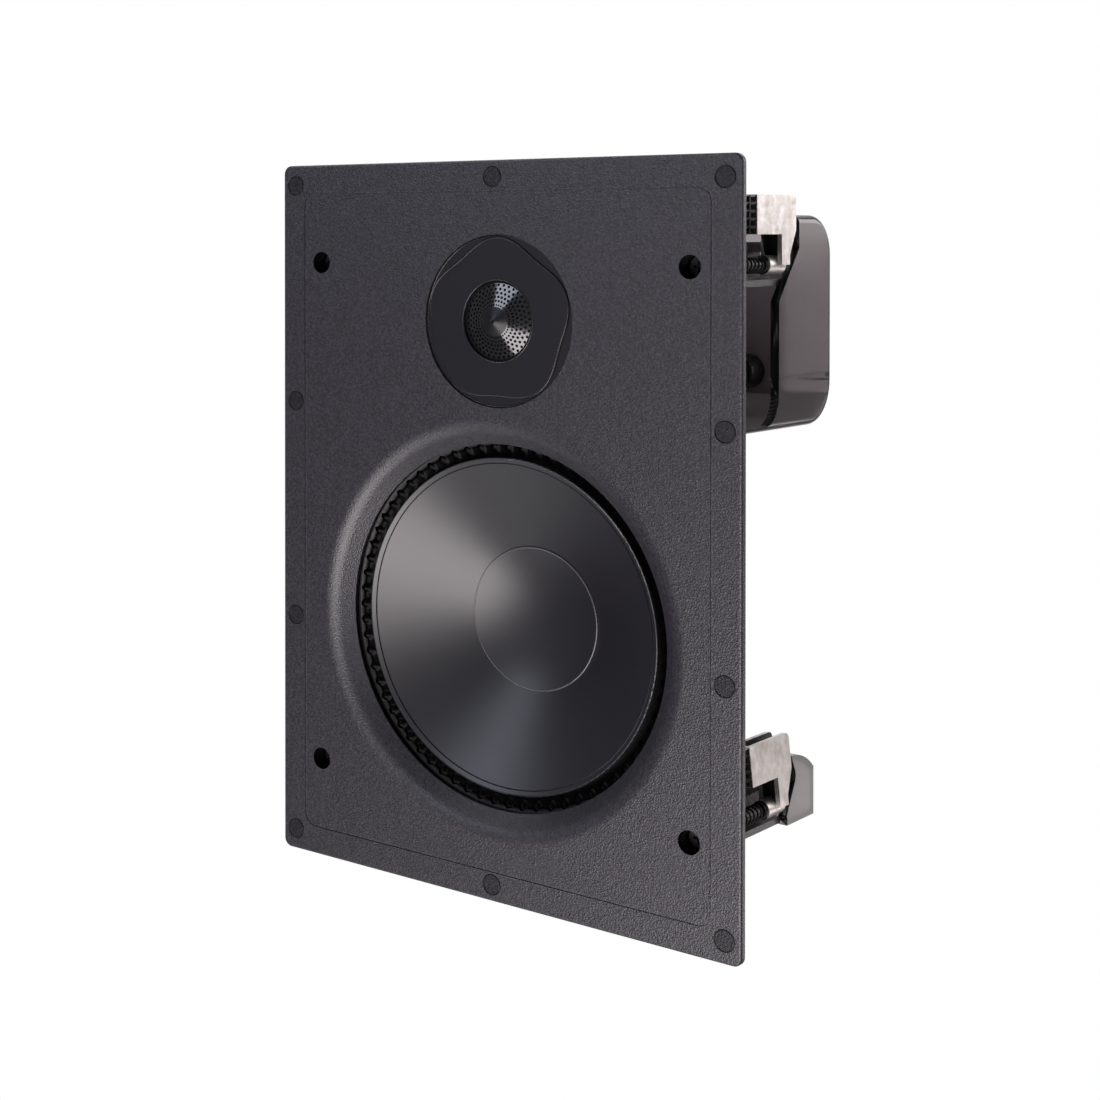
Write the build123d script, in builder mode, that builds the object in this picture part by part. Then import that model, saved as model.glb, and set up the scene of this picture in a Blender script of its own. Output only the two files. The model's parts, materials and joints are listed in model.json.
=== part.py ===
"""In-wall two-way loudspeaker with an eight-inch woofer, four dog-leg clamps and a smoked rear cover.

X runs across the panel, Y into the wall and Z up. Y = 0 is the face of the wall, on which the back of
the panel's flange rests. Depths are counted from the panel's front face, into the wall. Millimetres.
"""

import os

from build123d import *

os.makedirs("parts", exist_ok=True)

# Running and assembly clearances
SLIDE_GAP = 0.3
SEAT_GAP = 0.2

# Panel
PANEL_W = 267.0
PANEL_H = 368.0
PANEL_T = 3.5
PANEL_CORNER_R = 4.5
PANEL_EDGE_R = 1.2
LINE_INSET = 15.0
LINE_W = 1.2
LINE_DEPTH = 0.6
LINE_CORNER_R = 7.0
SKIRT_INSET = 15.0
SKIRT_T = 2.2
SKIRT_TALL = 8.5
SKIRT_CORNER_R = 6.0
RIB_T = 2.0
RIB_X = 58.0

# Grille magnets, let into the panel's front
MAGNET_R = 4.9
MAGNET_GAP = 0.35
MAGNET_T = 2.0
MAGNET_SIDE_INSET = 8.4
MAGNET_CORNER_INSET = 10.8
MAGNET_END_INSET = 8.2
MAGNET_MID_Z = 57.7

# Woofer opening
WOOFER_Z = -49.0
OPENING_R = 91.6
FLARE_RUN = 12.4
FLARE_DEPTH = 8.5
FLARE_BLEND_R = 16.0
LIP_T = 0.9
LIP_STEP = 3.9
LIP_ROOM = 4.1
SEAT_RING_W = 10.5

# Woofer
CONE_GAP = 7.2
RIM_SET_BACK = 3.5
RIM_W = 2.7
RIM_T = 3.8
RIM_EDGE_R = 0.6
RIM_GROOVE_W = 0.6
RIM_GROOVE_DEPTH = 0.9
CONE_STEP = 1.85
CONE_RISE = 34.55
CONE_T = 1.3
NECK_TALL = 2.6
NECK_T = 1.0
CAP_R = 36.5
CAP_DISH = 7.0
CAP_T = 0.8
CAP_BEAD_R = 0.4
SURROUND_T = 1.0
ROLL_INSET = 2.2
ROLL_RISE = 2.6
ROLL_CREST_W = 1.6
RIDGE_COUNT = 68
RIDGE_W = 2.6
RIDGE_TALL = 0.7
RIDGE_INSET = 0.45
WOOFER_TRAVEL = 6.0
FORMER_R = 19.0
FORMER_T = 0.4
COIL_T = 0.9
COIL_TALL = 14.0
AIR_GAP = 0.6
BASKET_T = 1.5
BASKET_MARGIN = 3.0
BASKET_SHOULDER = 3.5
BASKET_SHOULDER_DROP = 12.0
LEDGE_R = 58.0
LEDGE_W = 11.0
LEDGE_DEPTH = 58.0
BASE_DROP = 11.25
BASE_BORE_R = 27.0
BASKET_WINDOWS = 6
WINDOW_W = 34.0
SPIDER_T = 0.6
SPIDER_WAVE = 1.6
SPIDER_WAVES = 4
TOP_PLATE_R = 50.0
TOP_PLATE_T = 7.0
MAGNET_RING_R = 55.0
MAGNET_RING_BORE = 26.0
MAGNET_RING_T = 18.0
YOKE_R = 50.0
YOKE_T = 8.0
POLE_VENT_R = 7.0
WOOFER_SCREWS = 8
SCREW_R = 1.6
SCREW_HEAD_R = 3.4
SCREW_HEAD_T = 2.2
SCREW_BITE = 4.6
TAG_W = 24.0
TAG_L = 8.0
TAG_T = 1.6
BLADE_W = 6.3
BLADE_T = 0.8
BLADE_L = 9.0
BLADE_PITCH = 13.0

# Tweeter
TWEETER_X = 2.8
TWEETER_Z = 104.2
PLATE_R = 42.6
PLATE_GAP = 0.35
PLATE_RECESS = 0.6
PLATE_T = 2.4
PLATEAU_T = 1.0
LOBES = 5
LOBE_R = 39.3
LOBE_WAVE = 2.1
PLATE_BORE_R = 20.2
NECK_DEPTH = 10.5
PLATE_NECK_T = 4.3
SEAT_LEDGE_W = 7.0
SEAT_LEDGE_T = 2.8
SEAT_WALL_T = 4.0
LENS_EDGE_W = 1.2
LENS_SET_BACK = 2.2
LENS_T = 0.9
LENS_SHOULDER_R = 7.0
LENS_SLOPE_RISE = 3.8
LENS_TIP_RISE = 3.0
LENS_TIP_FLAT_R = 0.6
LENS_RINGS = 5
LENS_HOLES = 24
LENS_HOLE_R = 0.6
LENS_HOLE_GROWTH = 0.09
DOME_R = 12.6
DOME_RISE = 4.9
DOME_T = 0.6
DOME_LAND_W = 0.4
DOME_ROLL_W = 2.4
DOME_ROLL_RISE = 1.0
DOME_FLANGE_R = 22.0
DOME_TRAVEL = 0.5
TWEETER_COIL_T = 0.5
TWEETER_COIL_TALL = 4.0
TWEETER_GAP = 0.45
TWEETER_PLATE_R = 24.0
TWEETER_PLATE_T = 3.5
TWEETER_MAGNET_R = 26.0
TWEETER_MAGNET_T = 8.0
TWEETER_YOKE_T = 4.4
CAN_T = 2.0
CAN_ROOM = 0.4
CAN_FLOOR_T = 2.4
TWEETER_SCREWS = 4

# Wall clamps
CLAMP_SIDE_INSET = 26.0
CLAMP_END_INSET = 51.8
CLAMP_LEAN = 6.0
CLAMP_HOLE_R = 5.65
CLAMP_SEAT_DEPTH = 12.0
CLAMP_SEAT_T = 3.0
CLAMP_BOSS_T = 2.9
CLAMP_SCREW_R = 2.5
CLAMP_HEAD_R = 4.8
CLAMP_HEAD_T = 2.8
CLAMP_SCREW_TAIL = 3.5
CROSS_W = 1.4
CROSS_L = 5.6
CROSS_DEPTH = 1.6
DOG_FRONT = 70.5
DOG_BOSS_R = 4.6
DOG_BOSS_L = 16.5
JAW_FRONT = 53.0
JAW_L = 40.5
JAW_LOW = 14.8
JAW_HIGH = 33.8
JAW_NEAR = 6.5
JAW_FAR = 4.5
JAW_PLATE_T = 2.3
JAW_WALL_T = 3.0
JAW_CORNER_R = 3.0
ARM_FRONT_SET = 8.0
ARM_KNEE = 17.0
TOOTH_ROWS = 5
TOOTH_COLUMNS = 3
TOOTH_TALL = 1.5
TOOTH_GAP = 0.5
TOOTH_TAPER = 30.0
CLAMP_TRAVEL = 38.0
SPRING_R = 3.6
SPRING_WIRE_R = 0.5
SPRING_TURNS = 14
TOWER_DEPTH = 91.0
TOWER_BACK = 13.5
TOWER_WEB_T = 2.5
TOWER_OPEN = 6.2
TOWER_TOP = 11.0
TOWER_LOW = 8.5
TOWER_FLANGE_GAP = 6.2
RAIL_TOP = 7.2
RAIL_LOW = 10.4
RAIL_REACH = 0.0

# Smoked rear cover
COVER_REACH = 3.5
COVER_DEPTH = 140.5
COVER_T = 2.5
COVER_EDGE_R = 4.0
TUB_LOW = 51.5
TUB_ABOVE = 24.3
TUB_LOW_R = 22.0
TUB_HIGH_R = 20.0
TUB_ROOF_FRONT = 101.0
SIDE_EDGE = 81.5
SIDE_EDGE_R = 14.0
SIDE_SLANT_LOW = 18.0
SIDE_SLANT_HIGH = 8.0
SIDE_EDGE_FAR = 103.0
TUB_RIB_Z = 75.0
TUB_RIB_T = 2.0
TUB_RIB_TALL = 2.4
SPINE_X = 64.0
SPINE_CORNER_R = 6.0
SPINE_LAP = 12.0
SPINE_DROP = 9.0
LOBE_BELOW = 11.3
LOBE_ABOVE = 22.2
LOBE_DEPTH = 120.0
LOBE_FRONT = 66.0
LOBE_SHOULDER = 9.6
LOBE_ROOF_FRONT = 95.5
LOBE_NOTCH = 11.5
LOBE_EDGE_LOW = 89.5
LOBE_EDGE_R = 10.0
POST_R = 5.0
POST_X = 80.0
POST_UP = 8.5
FOOT_X = 70.0
FOOT_DOWN = 9.0
POST_DEPTH = 18.0
EAR_W = 18.0
EAR_UP = 7.0
EAR_T = 2.5

# Crossover and terminals
BOARD_W = 172.0
BOARD_H = 66.0
BOARD_T = 1.6
BOARD_LOW = 10.5
BOARD_OFF = 3.4
BOARD_HOLE_INSET = 5.0
BOARD_HOLE_X = 50.0
STANDOFF_R = 3.5
COIL_R = 9.0
COIL_BORE_R = 3.5
COIL_L = 14.0
COIL_1_X = 69.0
COIL_2_X = 33.0
COIL_UP = 11.5
CAP_BODY_R = 7.0
CAP_BODY_L = 30.0
CAP_COUNT = 3
CAP_X = -54.0
CAP_PITCH = 40.0
CAP_UP = 46.0
RESISTOR_L = 24.0
RESISTOR_W = 9.0
RESISTOR_COUNT = 2
RESISTOR_X = -54.0
RESISTOR_PITCH = 34.0
RESISTOR_UP = 19.0
BLOCK_Z = 5.0
BLOCK_W = 44.0
BLOCK_H = 28.0
BLOCK_INNER = 13.0
BLOCK_FLANGE_T = 2.0
BLOCK_FLANGE_W = 4.0
TAB_W = 12.0
TAB_H = 8.0
TAB_OUT = 4.0
TAB_IN = 6.0
TAB_TRAVEL = 2.5
TAB_PITCH = 22.0
TAB_UP = 5.0
WIRE_HOLE_R = 1.8
WIRE_HOLE_DOWN = 7.0
WIRE_HOLE_L = 9.0

# Sizes that follow from those above
FRONT = -PANEL_T
FLARE_R = OPENING_R + FLARE_RUN
LIP_R = OPENING_R + LIP_STEP
SEAT_DEPTH = FLARE_DEPTH + LIP_T + LIP_ROOM
SEAT_R = LIP_R + SEAT_RING_W
RIM_DEPTH = FLARE_DEPTH + RIM_SET_BACK
CONE_R = OPENING_R - CONE_GAP
CONE_TOP_R = CONE_R - RIM_W - RIM_GROOVE_W
CONE_TOP_DEPTH = RIM_DEPTH + CONE_STEP
RIM_INNER_DEPTH = RIM_DEPTH + CONE_STEP * RIM_W / (RIM_W + RIM_GROOVE_W)
NECK_R = FORMER_R + FORMER_T
NECK_TOP_DEPTH = CONE_TOP_DEPTH + CONE_RISE
CONE_SLOPE = CONE_RISE / (CONE_TOP_R - NECK_R)
CAP_DEPTH = CONE_TOP_DEPTH + CONE_SLOPE * (CONE_TOP_R - CAP_R)
CONE_NORMAL = Vector(-CONE_SLOPE, -1).normalized()
BASKET_R = SEAT_R - BASKET_MARGIN
BASE_DEPTH = LEDGE_DEPTH + BASE_DROP
TOP_PLATE_DEPTH = BASE_DEPTH + BASKET_T / 2
RING_DEPTH = TOP_PLATE_DEPTH + TOP_PLATE_T
YOKE_DEPTH = RING_DEPTH + MAGNET_RING_T
COIL_R_OUT = NECK_R + COIL_T
COIL_MID = TOP_PLATE_DEPTH + TOP_PLATE_T / 2
BASKET_SCREW_R = (LIP_R + BASKET_R) / 2
ROLL_START = (CONE_R + ROLL_INSET, RIM_DEPTH + RIM_T + SURROUND_T / 2)
ROLL_END = (OPENING_R + ROLL_INSET / 2, SEAT_DEPTH - SURROUND_T / 2)
ROLL_MID_R = (ROLL_START[0] + ROLL_END[0]) / 2
ROLL_TOP = (ROLL_START[1] + ROLL_END[1]) / 2 - ROLL_RISE
ROLL = [
    ROLL_START,
    (ROLL_MID_R - ROLL_CREST_W / 2, ROLL_TOP),
    (ROLL_MID_R + ROLL_CREST_W / 2, ROLL_TOP),
    ROLL_END,
]
RIDGE = [
    Vector(ROLL[1]) + (Vector(ROLL[0]) - Vector(ROLL[1])) * (1 - RIDGE_INSET),
    ROLL[1],
    ROLL[2],
    Vector(ROLL[2]) + (Vector(ROLL[3]) - Vector(ROLL[2])) * (1 - RIDGE_INSET),
]
SPIDER_DEPTH = LEDGE_DEPTH - BASKET_T / 2 - SPIDER_T / 2
SPIDER_PITCH = (LEDGE_R - LEDGE_W - NECK_R) / (SPIDER_WAVES + 1)
PLATE_HOLE_R = PLATE_R + PLATE_GAP
PLATEAU_DEPTH = PLATE_RECESS + PLATEAU_T
PLATE_SEAT = PLATEAU_DEPTH + PLATE_T
LENS_DEPTH = PLATE_RECESS + LENS_SET_BACK
LENS_BACK = LENS_DEPTH + LENS_T
LENS_R = PLATE_BORE_R - SEAT_GAP
LENS_SLOPE_R = LENS_R - LENS_EDGE_W
LENS_SLOPE = LENS_SLOPE_RISE / (LENS_SLOPE_R - LENS_SHOULDER_R)
LENS_RING_PITCH = (LENS_SLOPE_R - LENS_SHOULDER_R) / LENS_RINGS
LENS_SHOULDER_DEPTH = LENS_DEPTH - LENS_SLOPE_RISE
LENS_TIP_DEPTH = LENS_SHOULDER_DEPTH - LENS_TIP_RISE
DOME_DEPTH = NECK_DEPTH + DOME_T / 2
TWEETER_PLATE_DEPTH = NECK_DEPTH + DOME_T
TWEETER_MAGNET_DEPTH = TWEETER_PLATE_DEPTH + TWEETER_PLATE_T
TWEETER_YOKE_DEPTH = TWEETER_MAGNET_DEPTH + TWEETER_MAGNET_T
TWEETER_COIL_R = DOME_R + TWEETER_COIL_T
TWEETER_BORE_R = TWEETER_COIL_R + TWEETER_GAP
TWEETER_POLE_R = DOME_R - TWEETER_GAP
DOME_LAND_R = TWEETER_COIL_R + DOME_LAND_W
CAN_R = TWEETER_MAGNET_R + CAN_ROOM
CAN_DEPTH = TWEETER_YOKE_DEPTH + TWEETER_YOKE_T
CLAMP_SEAT_BACK = CLAMP_SEAT_DEPTH + CLAMP_SEAT_T
DOG_BACK = DOG_FRONT + DOG_BOSS_L
JAW_BACK = JAW_FRONT + JAW_L
JAW_W = JAW_NEAR + JAW_FAR
CLAMP_SCREW_END = DOG_BACK + CLAMP_SCREW_TAIL
SPRING_L = DOG_FRONT - CLAMP_SEAT_BACK
CLAMP_X = PANEL_W / 2 - CLAMP_SIDE_INSET
CLAMP_Z = PANEL_H / 2 - CLAMP_END_INSET
COVER_X = CLAMP_X + COVER_REACH
TUB_HIGH = CLAMP_Z + TUB_ABOVE
LOBE_LOW = -CLAMP_Z - LOBE_BELOW
LOBE_HIGH = -CLAMP_Z + LOBE_ABOVE
SPINE_LOW = LOBE_HIGH - SPINE_DROP
SPINE_FRONT = LOBE_DEPTH - SPINE_LAP
COVER_INNER_X = COVER_X - COVER_T
COVER_INNER_DEPTH = COVER_DEPTH - COVER_T
TUB_FLOOR = TUB_LOW + COVER_T
TUB_ROOF = TUB_HIGH - COVER_T
LOBE_FLOOR = LOBE_LOW + COVER_T
SPINE_INNER_X = SPINE_X - COVER_T
POST_Z = TUB_LOW + POST_UP
FOOT_Z = LOBE_LOW - FOOT_DOWN
EAR_BACK = POST_DEPTH + EAR_T
BOARD_DEPTH = COVER_INNER_DEPTH - BOARD_OFF - BOARD_T
BOARD_Z0 = TUB_FLOOR + BOARD_LOW
BOARD_MID_Z = BOARD_Z0 + BOARD_H / 2
BOARD_HOLE_Z = BOARD_H / 2 - BOARD_HOLE_INSET
BLOCK_FRONT = COVER_DEPTH - BLOCK_INNER
BLOCK_BACK = COVER_DEPTH + BLOCK_FLANGE_T
WOOFER_AXIS = Axis((0, 0, WOOFER_Z), (0, 1, 0))
TWEETER_AXIS = Axis((TWEETER_X, 0, TWEETER_Z), (0, 1, 0))


def face_plane(depth, x=0.0, z=0.0):
    """Plane across the speaker at a depth: its x is X, its y is Z, and it faces the room."""
    return Plane(origin=(x, FRONT + depth, z), x_dir=(1, 0, 0), z_dir=(0, -1, 0))


def side_plane(x):
    """Plane seen from the side: its x is the depth, its y is Z, and it faces +X."""
    return Plane(origin=(x, FRONT, 0), x_dir=(0, 1, 0), z_dir=(1, 0, 0))


def radial_plane(z, x=0.0):
    """Plane through a driver's axis: its x is the radius and its y is the depth."""
    return Plane(origin=(x, FRONT, z), x_dir=(1, 0, 0), z_dir=(0, 0, 1))


def finish(builder, name):
    builder.part.label = name
    export_step(builder.part, f"parts/{name}.step")


# Where the clamps stand: X, Z, the turn about Y that points the leg the right way, and how far it leans in
CLAMPS = [
    (CLAMP_X, CLAMP_Z, 0, 0),
    (CLAMP_X, -CLAMP_Z, 0, CLAMP_LEAN),
    (-CLAMP_X, CLAMP_Z, 180, 0),
    (-CLAMP_X, -CLAMP_Z, 180, 0),
]
CLAMP_SPOTS = [(x, z) for x, z, _, _ in CLAMPS]

MAGNET_SPOTS = [
    (sx * (PANEL_W / 2 - MAGNET_SIDE_INSET), sz * z)
    for sx in (-1, 1)
    for sz in (-1, 1)
    for z in (PANEL_H / 2 - MAGNET_CORNER_INSET, MAGNET_MID_Z)
] + [(0, sz * (PANEL_H / 2 - MAGNET_END_INSET)) for sz in (-1, 1)]

POSTS = [(-POST_X, POST_Z), (POST_X, POST_Z), (-FOOT_X, FOOT_Z), (FOOT_X, FOOT_Z)]

# The tower beside a clamp screw: a channel open to the outside, and a rail below it
with BuildPart() as tower:
    with BuildSketch(face_plane(PANEL_T / 2)):
        with BuildLine():
            Polyline(
                (-TOWER_BACK, -TOWER_LOW),
                (-TOWER_OPEN, -TOWER_LOW),
                (-TOWER_OPEN, -TOWER_FLANGE_GAP),
                (-TOWER_BACK + TOWER_WEB_T, -TOWER_FLANGE_GAP),
                (-TOWER_BACK + TOWER_WEB_T, TOWER_FLANGE_GAP),
                (-TOWER_OPEN, TOWER_FLANGE_GAP),
                (-TOWER_OPEN, TOWER_TOP),
                (-TOWER_BACK, TOWER_TOP),
                close=True,
            )
        make_face()
        with BuildLine():
            Polyline(
                (-TOWER_BACK, -RAIL_LOW),
                (RAIL_REACH, -RAIL_LOW),
                (RAIL_REACH, -RAIL_TOP),
                (-TOWER_BACK, -RAIL_TOP),
                close=True,
            )
        make_face()
    extrude(amount=PANEL_T / 2 - TOWER_DEPTH)

# Moulded panel
with BuildPart() as front_baffle:
    with BuildSketch(face_plane(0)):
        RectangleRounded(PANEL_W, PANEL_H, PANEL_CORNER_R)
    extrude(amount=-PANEL_T)
    fillet(front_baffle.faces().sort_by(Axis.Y)[0].edges(), PANEL_EDGE_R)
    # skirt that drops into the cut-out, and ribs between it and the drivers' rings
    with BuildSketch(face_plane(PANEL_T / 2)) as skirt_plan:
        RectangleRounded(PANEL_W - 2 * SKIRT_INSET, PANEL_H - 2 * SKIRT_INSET, SKIRT_CORNER_R)
        RectangleRounded(
            PANEL_W - 2 * SKIRT_INSET - 2 * SKIRT_T,
            PANEL_H - 2 * SKIRT_INSET - 2 * SKIRT_T,
            SKIRT_CORNER_R - SKIRT_T,
            mode=Mode.SUBTRACT,
        )
        with Locations((0, TWEETER_Z)):
            Rectangle(PANEL_W - 2 * SKIRT_INSET - SKIRT_T, RIB_T)
        for side in (-1, 1):
            with Locations((side * RIB_X, PANEL_H / 2 - SKIRT_INSET - SKIRT_T / 2)):
                Rectangle(
                    RIB_T,
                    PANEL_H / 2 - SKIRT_INSET - WOOFER_Z - FLARE_R,
                    align=(Align.CENTER, Align.MAX),
                )
    extrude(amount=PANEL_T / 2 - PANEL_T - SKIRT_TALL)
    # woofer: a dished flare down to a thin lip, with a seat for the basket behind it
    with BuildSketch(face_plane(0, z=WOOFER_Z)):
        Circle(SEAT_R)
    extrude(amount=-(PANEL_T + SKIRT_TALL), mode=Mode.SUBTRACT)
    with BuildSketch(radial_plane(WOOFER_Z)):
        with BuildLine():
            FilletPolyline(
                (SEAT_R + PANEL_T, 0),
                (FLARE_R, 0),
                (OPENING_R, FLARE_DEPTH),
                radius=FLARE_BLEND_R,
            )
            Polyline(
                (OPENING_R, FLARE_DEPTH),
                (OPENING_R, FLARE_DEPTH + LIP_T),
                (LIP_R, FLARE_DEPTH + LIP_T),
                (LIP_R, SEAT_DEPTH),
                (SEAT_R + PANEL_T, SEAT_DEPTH),
                (SEAT_R + PANEL_T, 0),
            )
        make_face()
    revolve(axis=WOOFER_AXIS)
    # tweeter: a round opening with a ledge behind the plate
    with BuildSketch(face_plane(0, TWEETER_X, TWEETER_Z)):
        Circle(PLATE_HOLE_R)
    extrude(amount=-(PANEL_T + SKIRT_TALL), mode=Mode.SUBTRACT)
    with BuildSketch(radial_plane(TWEETER_Z, TWEETER_X)):
        with BuildLine():
            Polyline(
                (PLATE_HOLE_R, PANEL_T / 2),
                (PLATE_HOLE_R, PLATE_SEAT),
                (PLATE_HOLE_R - SEAT_LEDGE_W, PLATE_SEAT),
                (PLATE_HOLE_R - SEAT_LEDGE_W, PLATE_SEAT + SEAT_LEDGE_T),
                (PLATE_HOLE_R + SEAT_WALL_T, PLATE_SEAT + SEAT_LEDGE_T),
                (PLATE_HOLE_R + SEAT_WALL_T, PANEL_T / 2),
                close=True,
            )
        make_face()
    revolve(axis=TWEETER_AXIS)
    # clamp towers and the bosses that carry the screws
    for x, z, turn, _ in CLAMPS:
        add(tower.part.moved(Location((x, 0, z), (0, turn, 0))))
    with BuildSketch(face_plane(PANEL_T / 2)):
        with Locations(*CLAMP_SPOTS):
            Circle(CLAMP_HOLE_R + CLAMP_BOSS_T)
    extrude(amount=PANEL_T / 2 - CLAMP_SEAT_BACK)
    with BuildSketch(face_plane(0)):
        with Locations(*CLAMP_SPOTS):
            Circle(CLAMP_HOLE_R)
    extrude(amount=-CLAMP_SEAT_DEPTH, mode=Mode.SUBTRACT)
    with BuildSketch(face_plane(0)):
        with Locations(*CLAMP_SPOTS):
            Circle(CLAMP_SCREW_R + SLIDE_GAP)
    extrude(amount=-CLAMP_SEAT_BACK, mode=Mode.SUBTRACT)
    # posts for the rear cover
    with BuildSketch(face_plane(PANEL_T / 2)):
        with Locations(*POSTS):
            Circle(POST_R)
    extrude(amount=PANEL_T / 2 - POST_DEPTH)
    with BuildSketch(face_plane(POST_DEPTH - SCREW_BITE)):
        with Locations(*POSTS):
            Circle(SCREW_R)
    extrude(amount=-SCREW_BITE, mode=Mode.SUBTRACT)
    # screw holes round both drivers
    with BuildSketch(face_plane(SEAT_DEPTH - SCREW_BITE, z=WOOFER_Z)):
        with PolarLocations(BASKET_SCREW_R, WOOFER_SCREWS):
            Circle(SCREW_R)
    extrude(amount=-SCREW_BITE, mode=Mode.SUBTRACT)
    with BuildSketch(face_plane(PLATE_SEAT, TWEETER_X, TWEETER_Z)):
        with PolarLocations(PLATE_HOLE_R - SEAT_LEDGE_W / 2, TWEETER_SCREWS, start_angle=45):
            Circle(SCREW_R)
    extrude(amount=-SEAT_LEDGE_T, mode=Mode.SUBTRACT)
    # the fine line inside the edge, and the pockets for the magnets
    with BuildSketch(face_plane(0)):
        RectangleRounded(
            PANEL_W - 2 * LINE_INSET + LINE_W,
            PANEL_H - 2 * LINE_INSET + LINE_W,
            LINE_CORNER_R + LINE_W / 2,
        )
        RectangleRounded(
            PANEL_W - 2 * LINE_INSET - LINE_W,
            PANEL_H - 2 * LINE_INSET - LINE_W,
            LINE_CORNER_R - LINE_W / 2,
            mode=Mode.SUBTRACT,
        )
    extrude(amount=-LINE_DEPTH, mode=Mode.SUBTRACT)
    with BuildSketch(face_plane(0)):
        with Locations(*MAGNET_SPOTS):
            Circle(MAGNET_R + MAGNET_GAP)
    extrude(amount=-MAGNET_T, mode=Mode.SUBTRACT)
finish(front_baffle, "front_baffle")

with BuildPart() as grille_magnets:
    with BuildSketch(face_plane(0)):
        with Locations(*MAGNET_SPOTS):
            Circle(MAGNET_R)
    extrude(amount=-MAGNET_T)
finish(grille_magnets, "grille_magnets")

# Woofer basket: one stamping with a flange, sloping spokes, a ledge for the spider and a base
with BuildPart() as woofer_basket:
    with BuildSketch(radial_plane(WOOFER_Z)):
        with BuildLine():
            FilletPolyline(
                (BASKET_R, SEAT_DEPTH + BASKET_T / 2),
                (OPENING_R, SEAT_DEPTH + BASKET_T / 2),
                (OPENING_R - BASKET_SHOULDER, SEAT_DEPTH + BASKET_SHOULDER_DROP),
                (LEDGE_R, LEDGE_DEPTH),
                (LEDGE_R - LEDGE_W, LEDGE_DEPTH),
                (LEDGE_R - LEDGE_W, BASE_DEPTH),
                (BASE_BORE_R, BASE_DEPTH),
                radius=BASKET_T,
            )
        trace(line_width=BASKET_T)
    revolve(axis=WOOFER_AXIS)
    with BuildSketch(face_plane(SEAT_DEPTH + BASKET_SHOULDER_DROP, z=WOOFER_Z)):
        with PolarLocations((OPENING_R + LEDGE_R) / 2, BASKET_WINDOWS, start_angle=30):
            RectangleRounded(OPENING_R - LEDGE_R - BASKET_SHOULDER, WINDOW_W, BASKET_SHOULDER)
    extrude(amount=SEAT_DEPTH + BASKET_SHOULDER_DROP - LEDGE_DEPTH, mode=Mode.SUBTRACT)
    with BuildSketch(face_plane(SEAT_DEPTH, z=WOOFER_Z)):
        with PolarLocations(BASKET_SCREW_R, WOOFER_SCREWS):
            Circle(SCREW_R)
    extrude(amount=-BASKET_T, mode=Mode.SUBTRACT)
finish(woofer_basket, "woofer_basket")

with BuildPart() as woofer_screws:
    with BuildSketch(face_plane(SEAT_DEPTH + BASKET_T, z=WOOFER_Z)):
        with PolarLocations(BASKET_SCREW_R, WOOFER_SCREWS):
            Circle(SCREW_HEAD_R)
    extrude(amount=-SCREW_HEAD_T)
    with BuildSketch(face_plane(SEAT_DEPTH - SCREW_BITE, z=WOOFER_Z)):
        with PolarLocations(BASKET_SCREW_R, WOOFER_SCREWS):
            Circle(SCREW_R)
    extrude(amount=-(SCREW_BITE + BASKET_T))
finish(woofer_screws, "woofer_screws")

# Cone with a rim outside a thin groove
with BuildPart() as woofer_cone:
    with BuildSketch(radial_plane(WOOFER_Z)) as cone_section:
        with BuildLine():
            Polyline(
                (CONE_R, RIM_DEPTH),
                (CONE_R - RIM_W, RIM_INNER_DEPTH),
                (CONE_R - RIM_W, RIM_INNER_DEPTH + RIM_GROOVE_DEPTH),
                (CONE_TOP_R, RIM_INNER_DEPTH + RIM_GROOVE_DEPTH),
                (CONE_TOP_R, CONE_TOP_DEPTH),
                (NECK_R, NECK_TOP_DEPTH),
                (NECK_R, NECK_TOP_DEPTH + NECK_TALL),
                (NECK_R + NECK_T, NECK_TOP_DEPTH + NECK_TALL),
                (NECK_R + NECK_T, NECK_TOP_DEPTH + CONE_T - CONE_SLOPE * NECK_T),
                (CONE_TOP_R, CONE_TOP_DEPTH + CONE_T),
                (CONE_TOP_R, RIM_DEPTH + RIM_T),
                (CONE_R, RIM_DEPTH + RIM_T),
                close=True,
            )
        make_face()
        outside = cone_section.vertices().group_by(Axis.X)[-1].sort_by(Axis.Y)
        fillet(outside[0], RIM_EDGE_R)
    revolve(axis=WOOFER_AXIS)
finish(woofer_cone, "woofer_cone")

# Hollow-faced dust cap with a bead round its edge
with BuildPart() as woofer_dust_cap:
    with BuildSketch(radial_plane(WOOFER_Z)):
        with BuildLine():
            Bezier(
                (CAP_R, CAP_DEPTH),
                (CAP_R / 2, CAP_DEPTH + CAP_DISH),
                (0, CAP_DEPTH + CAP_DISH),
            )
            Line((0, CAP_DEPTH + CAP_DISH), (0, CAP_DEPTH + CAP_DISH - CAP_T))
            Bezier(
                (0, CAP_DEPTH + CAP_DISH - CAP_T),
                (CAP_R / 2, CAP_DEPTH + CAP_DISH - CAP_T),
                (CAP_R, CAP_DEPTH - CAP_T),
            )
            Line((CAP_R, CAP_DEPTH - CAP_T), (CAP_R, CAP_DEPTH))
        make_face()
        with Locations(Vector(CAP_R, CAP_DEPTH) + CONE_NORMAL * CAP_BEAD_R):
            Circle(CAP_BEAD_R)
    revolve(axis=WOOFER_AXIS)
finish(woofer_dust_cap, "woofer_dust_cap")

# Surround: a low roll glued behind the rim and under the lip, with ridges across it
with BuildPart() as ridge:
    with BuildSketch(radial_plane(WOOFER_Z)):
        with BuildLine():
            Polyline(*RIDGE)
        trace(line_width=SURROUND_T + 2 * RIDGE_TALL)
    extrude(amount=RIDGE_W / 2, both=True)

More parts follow.
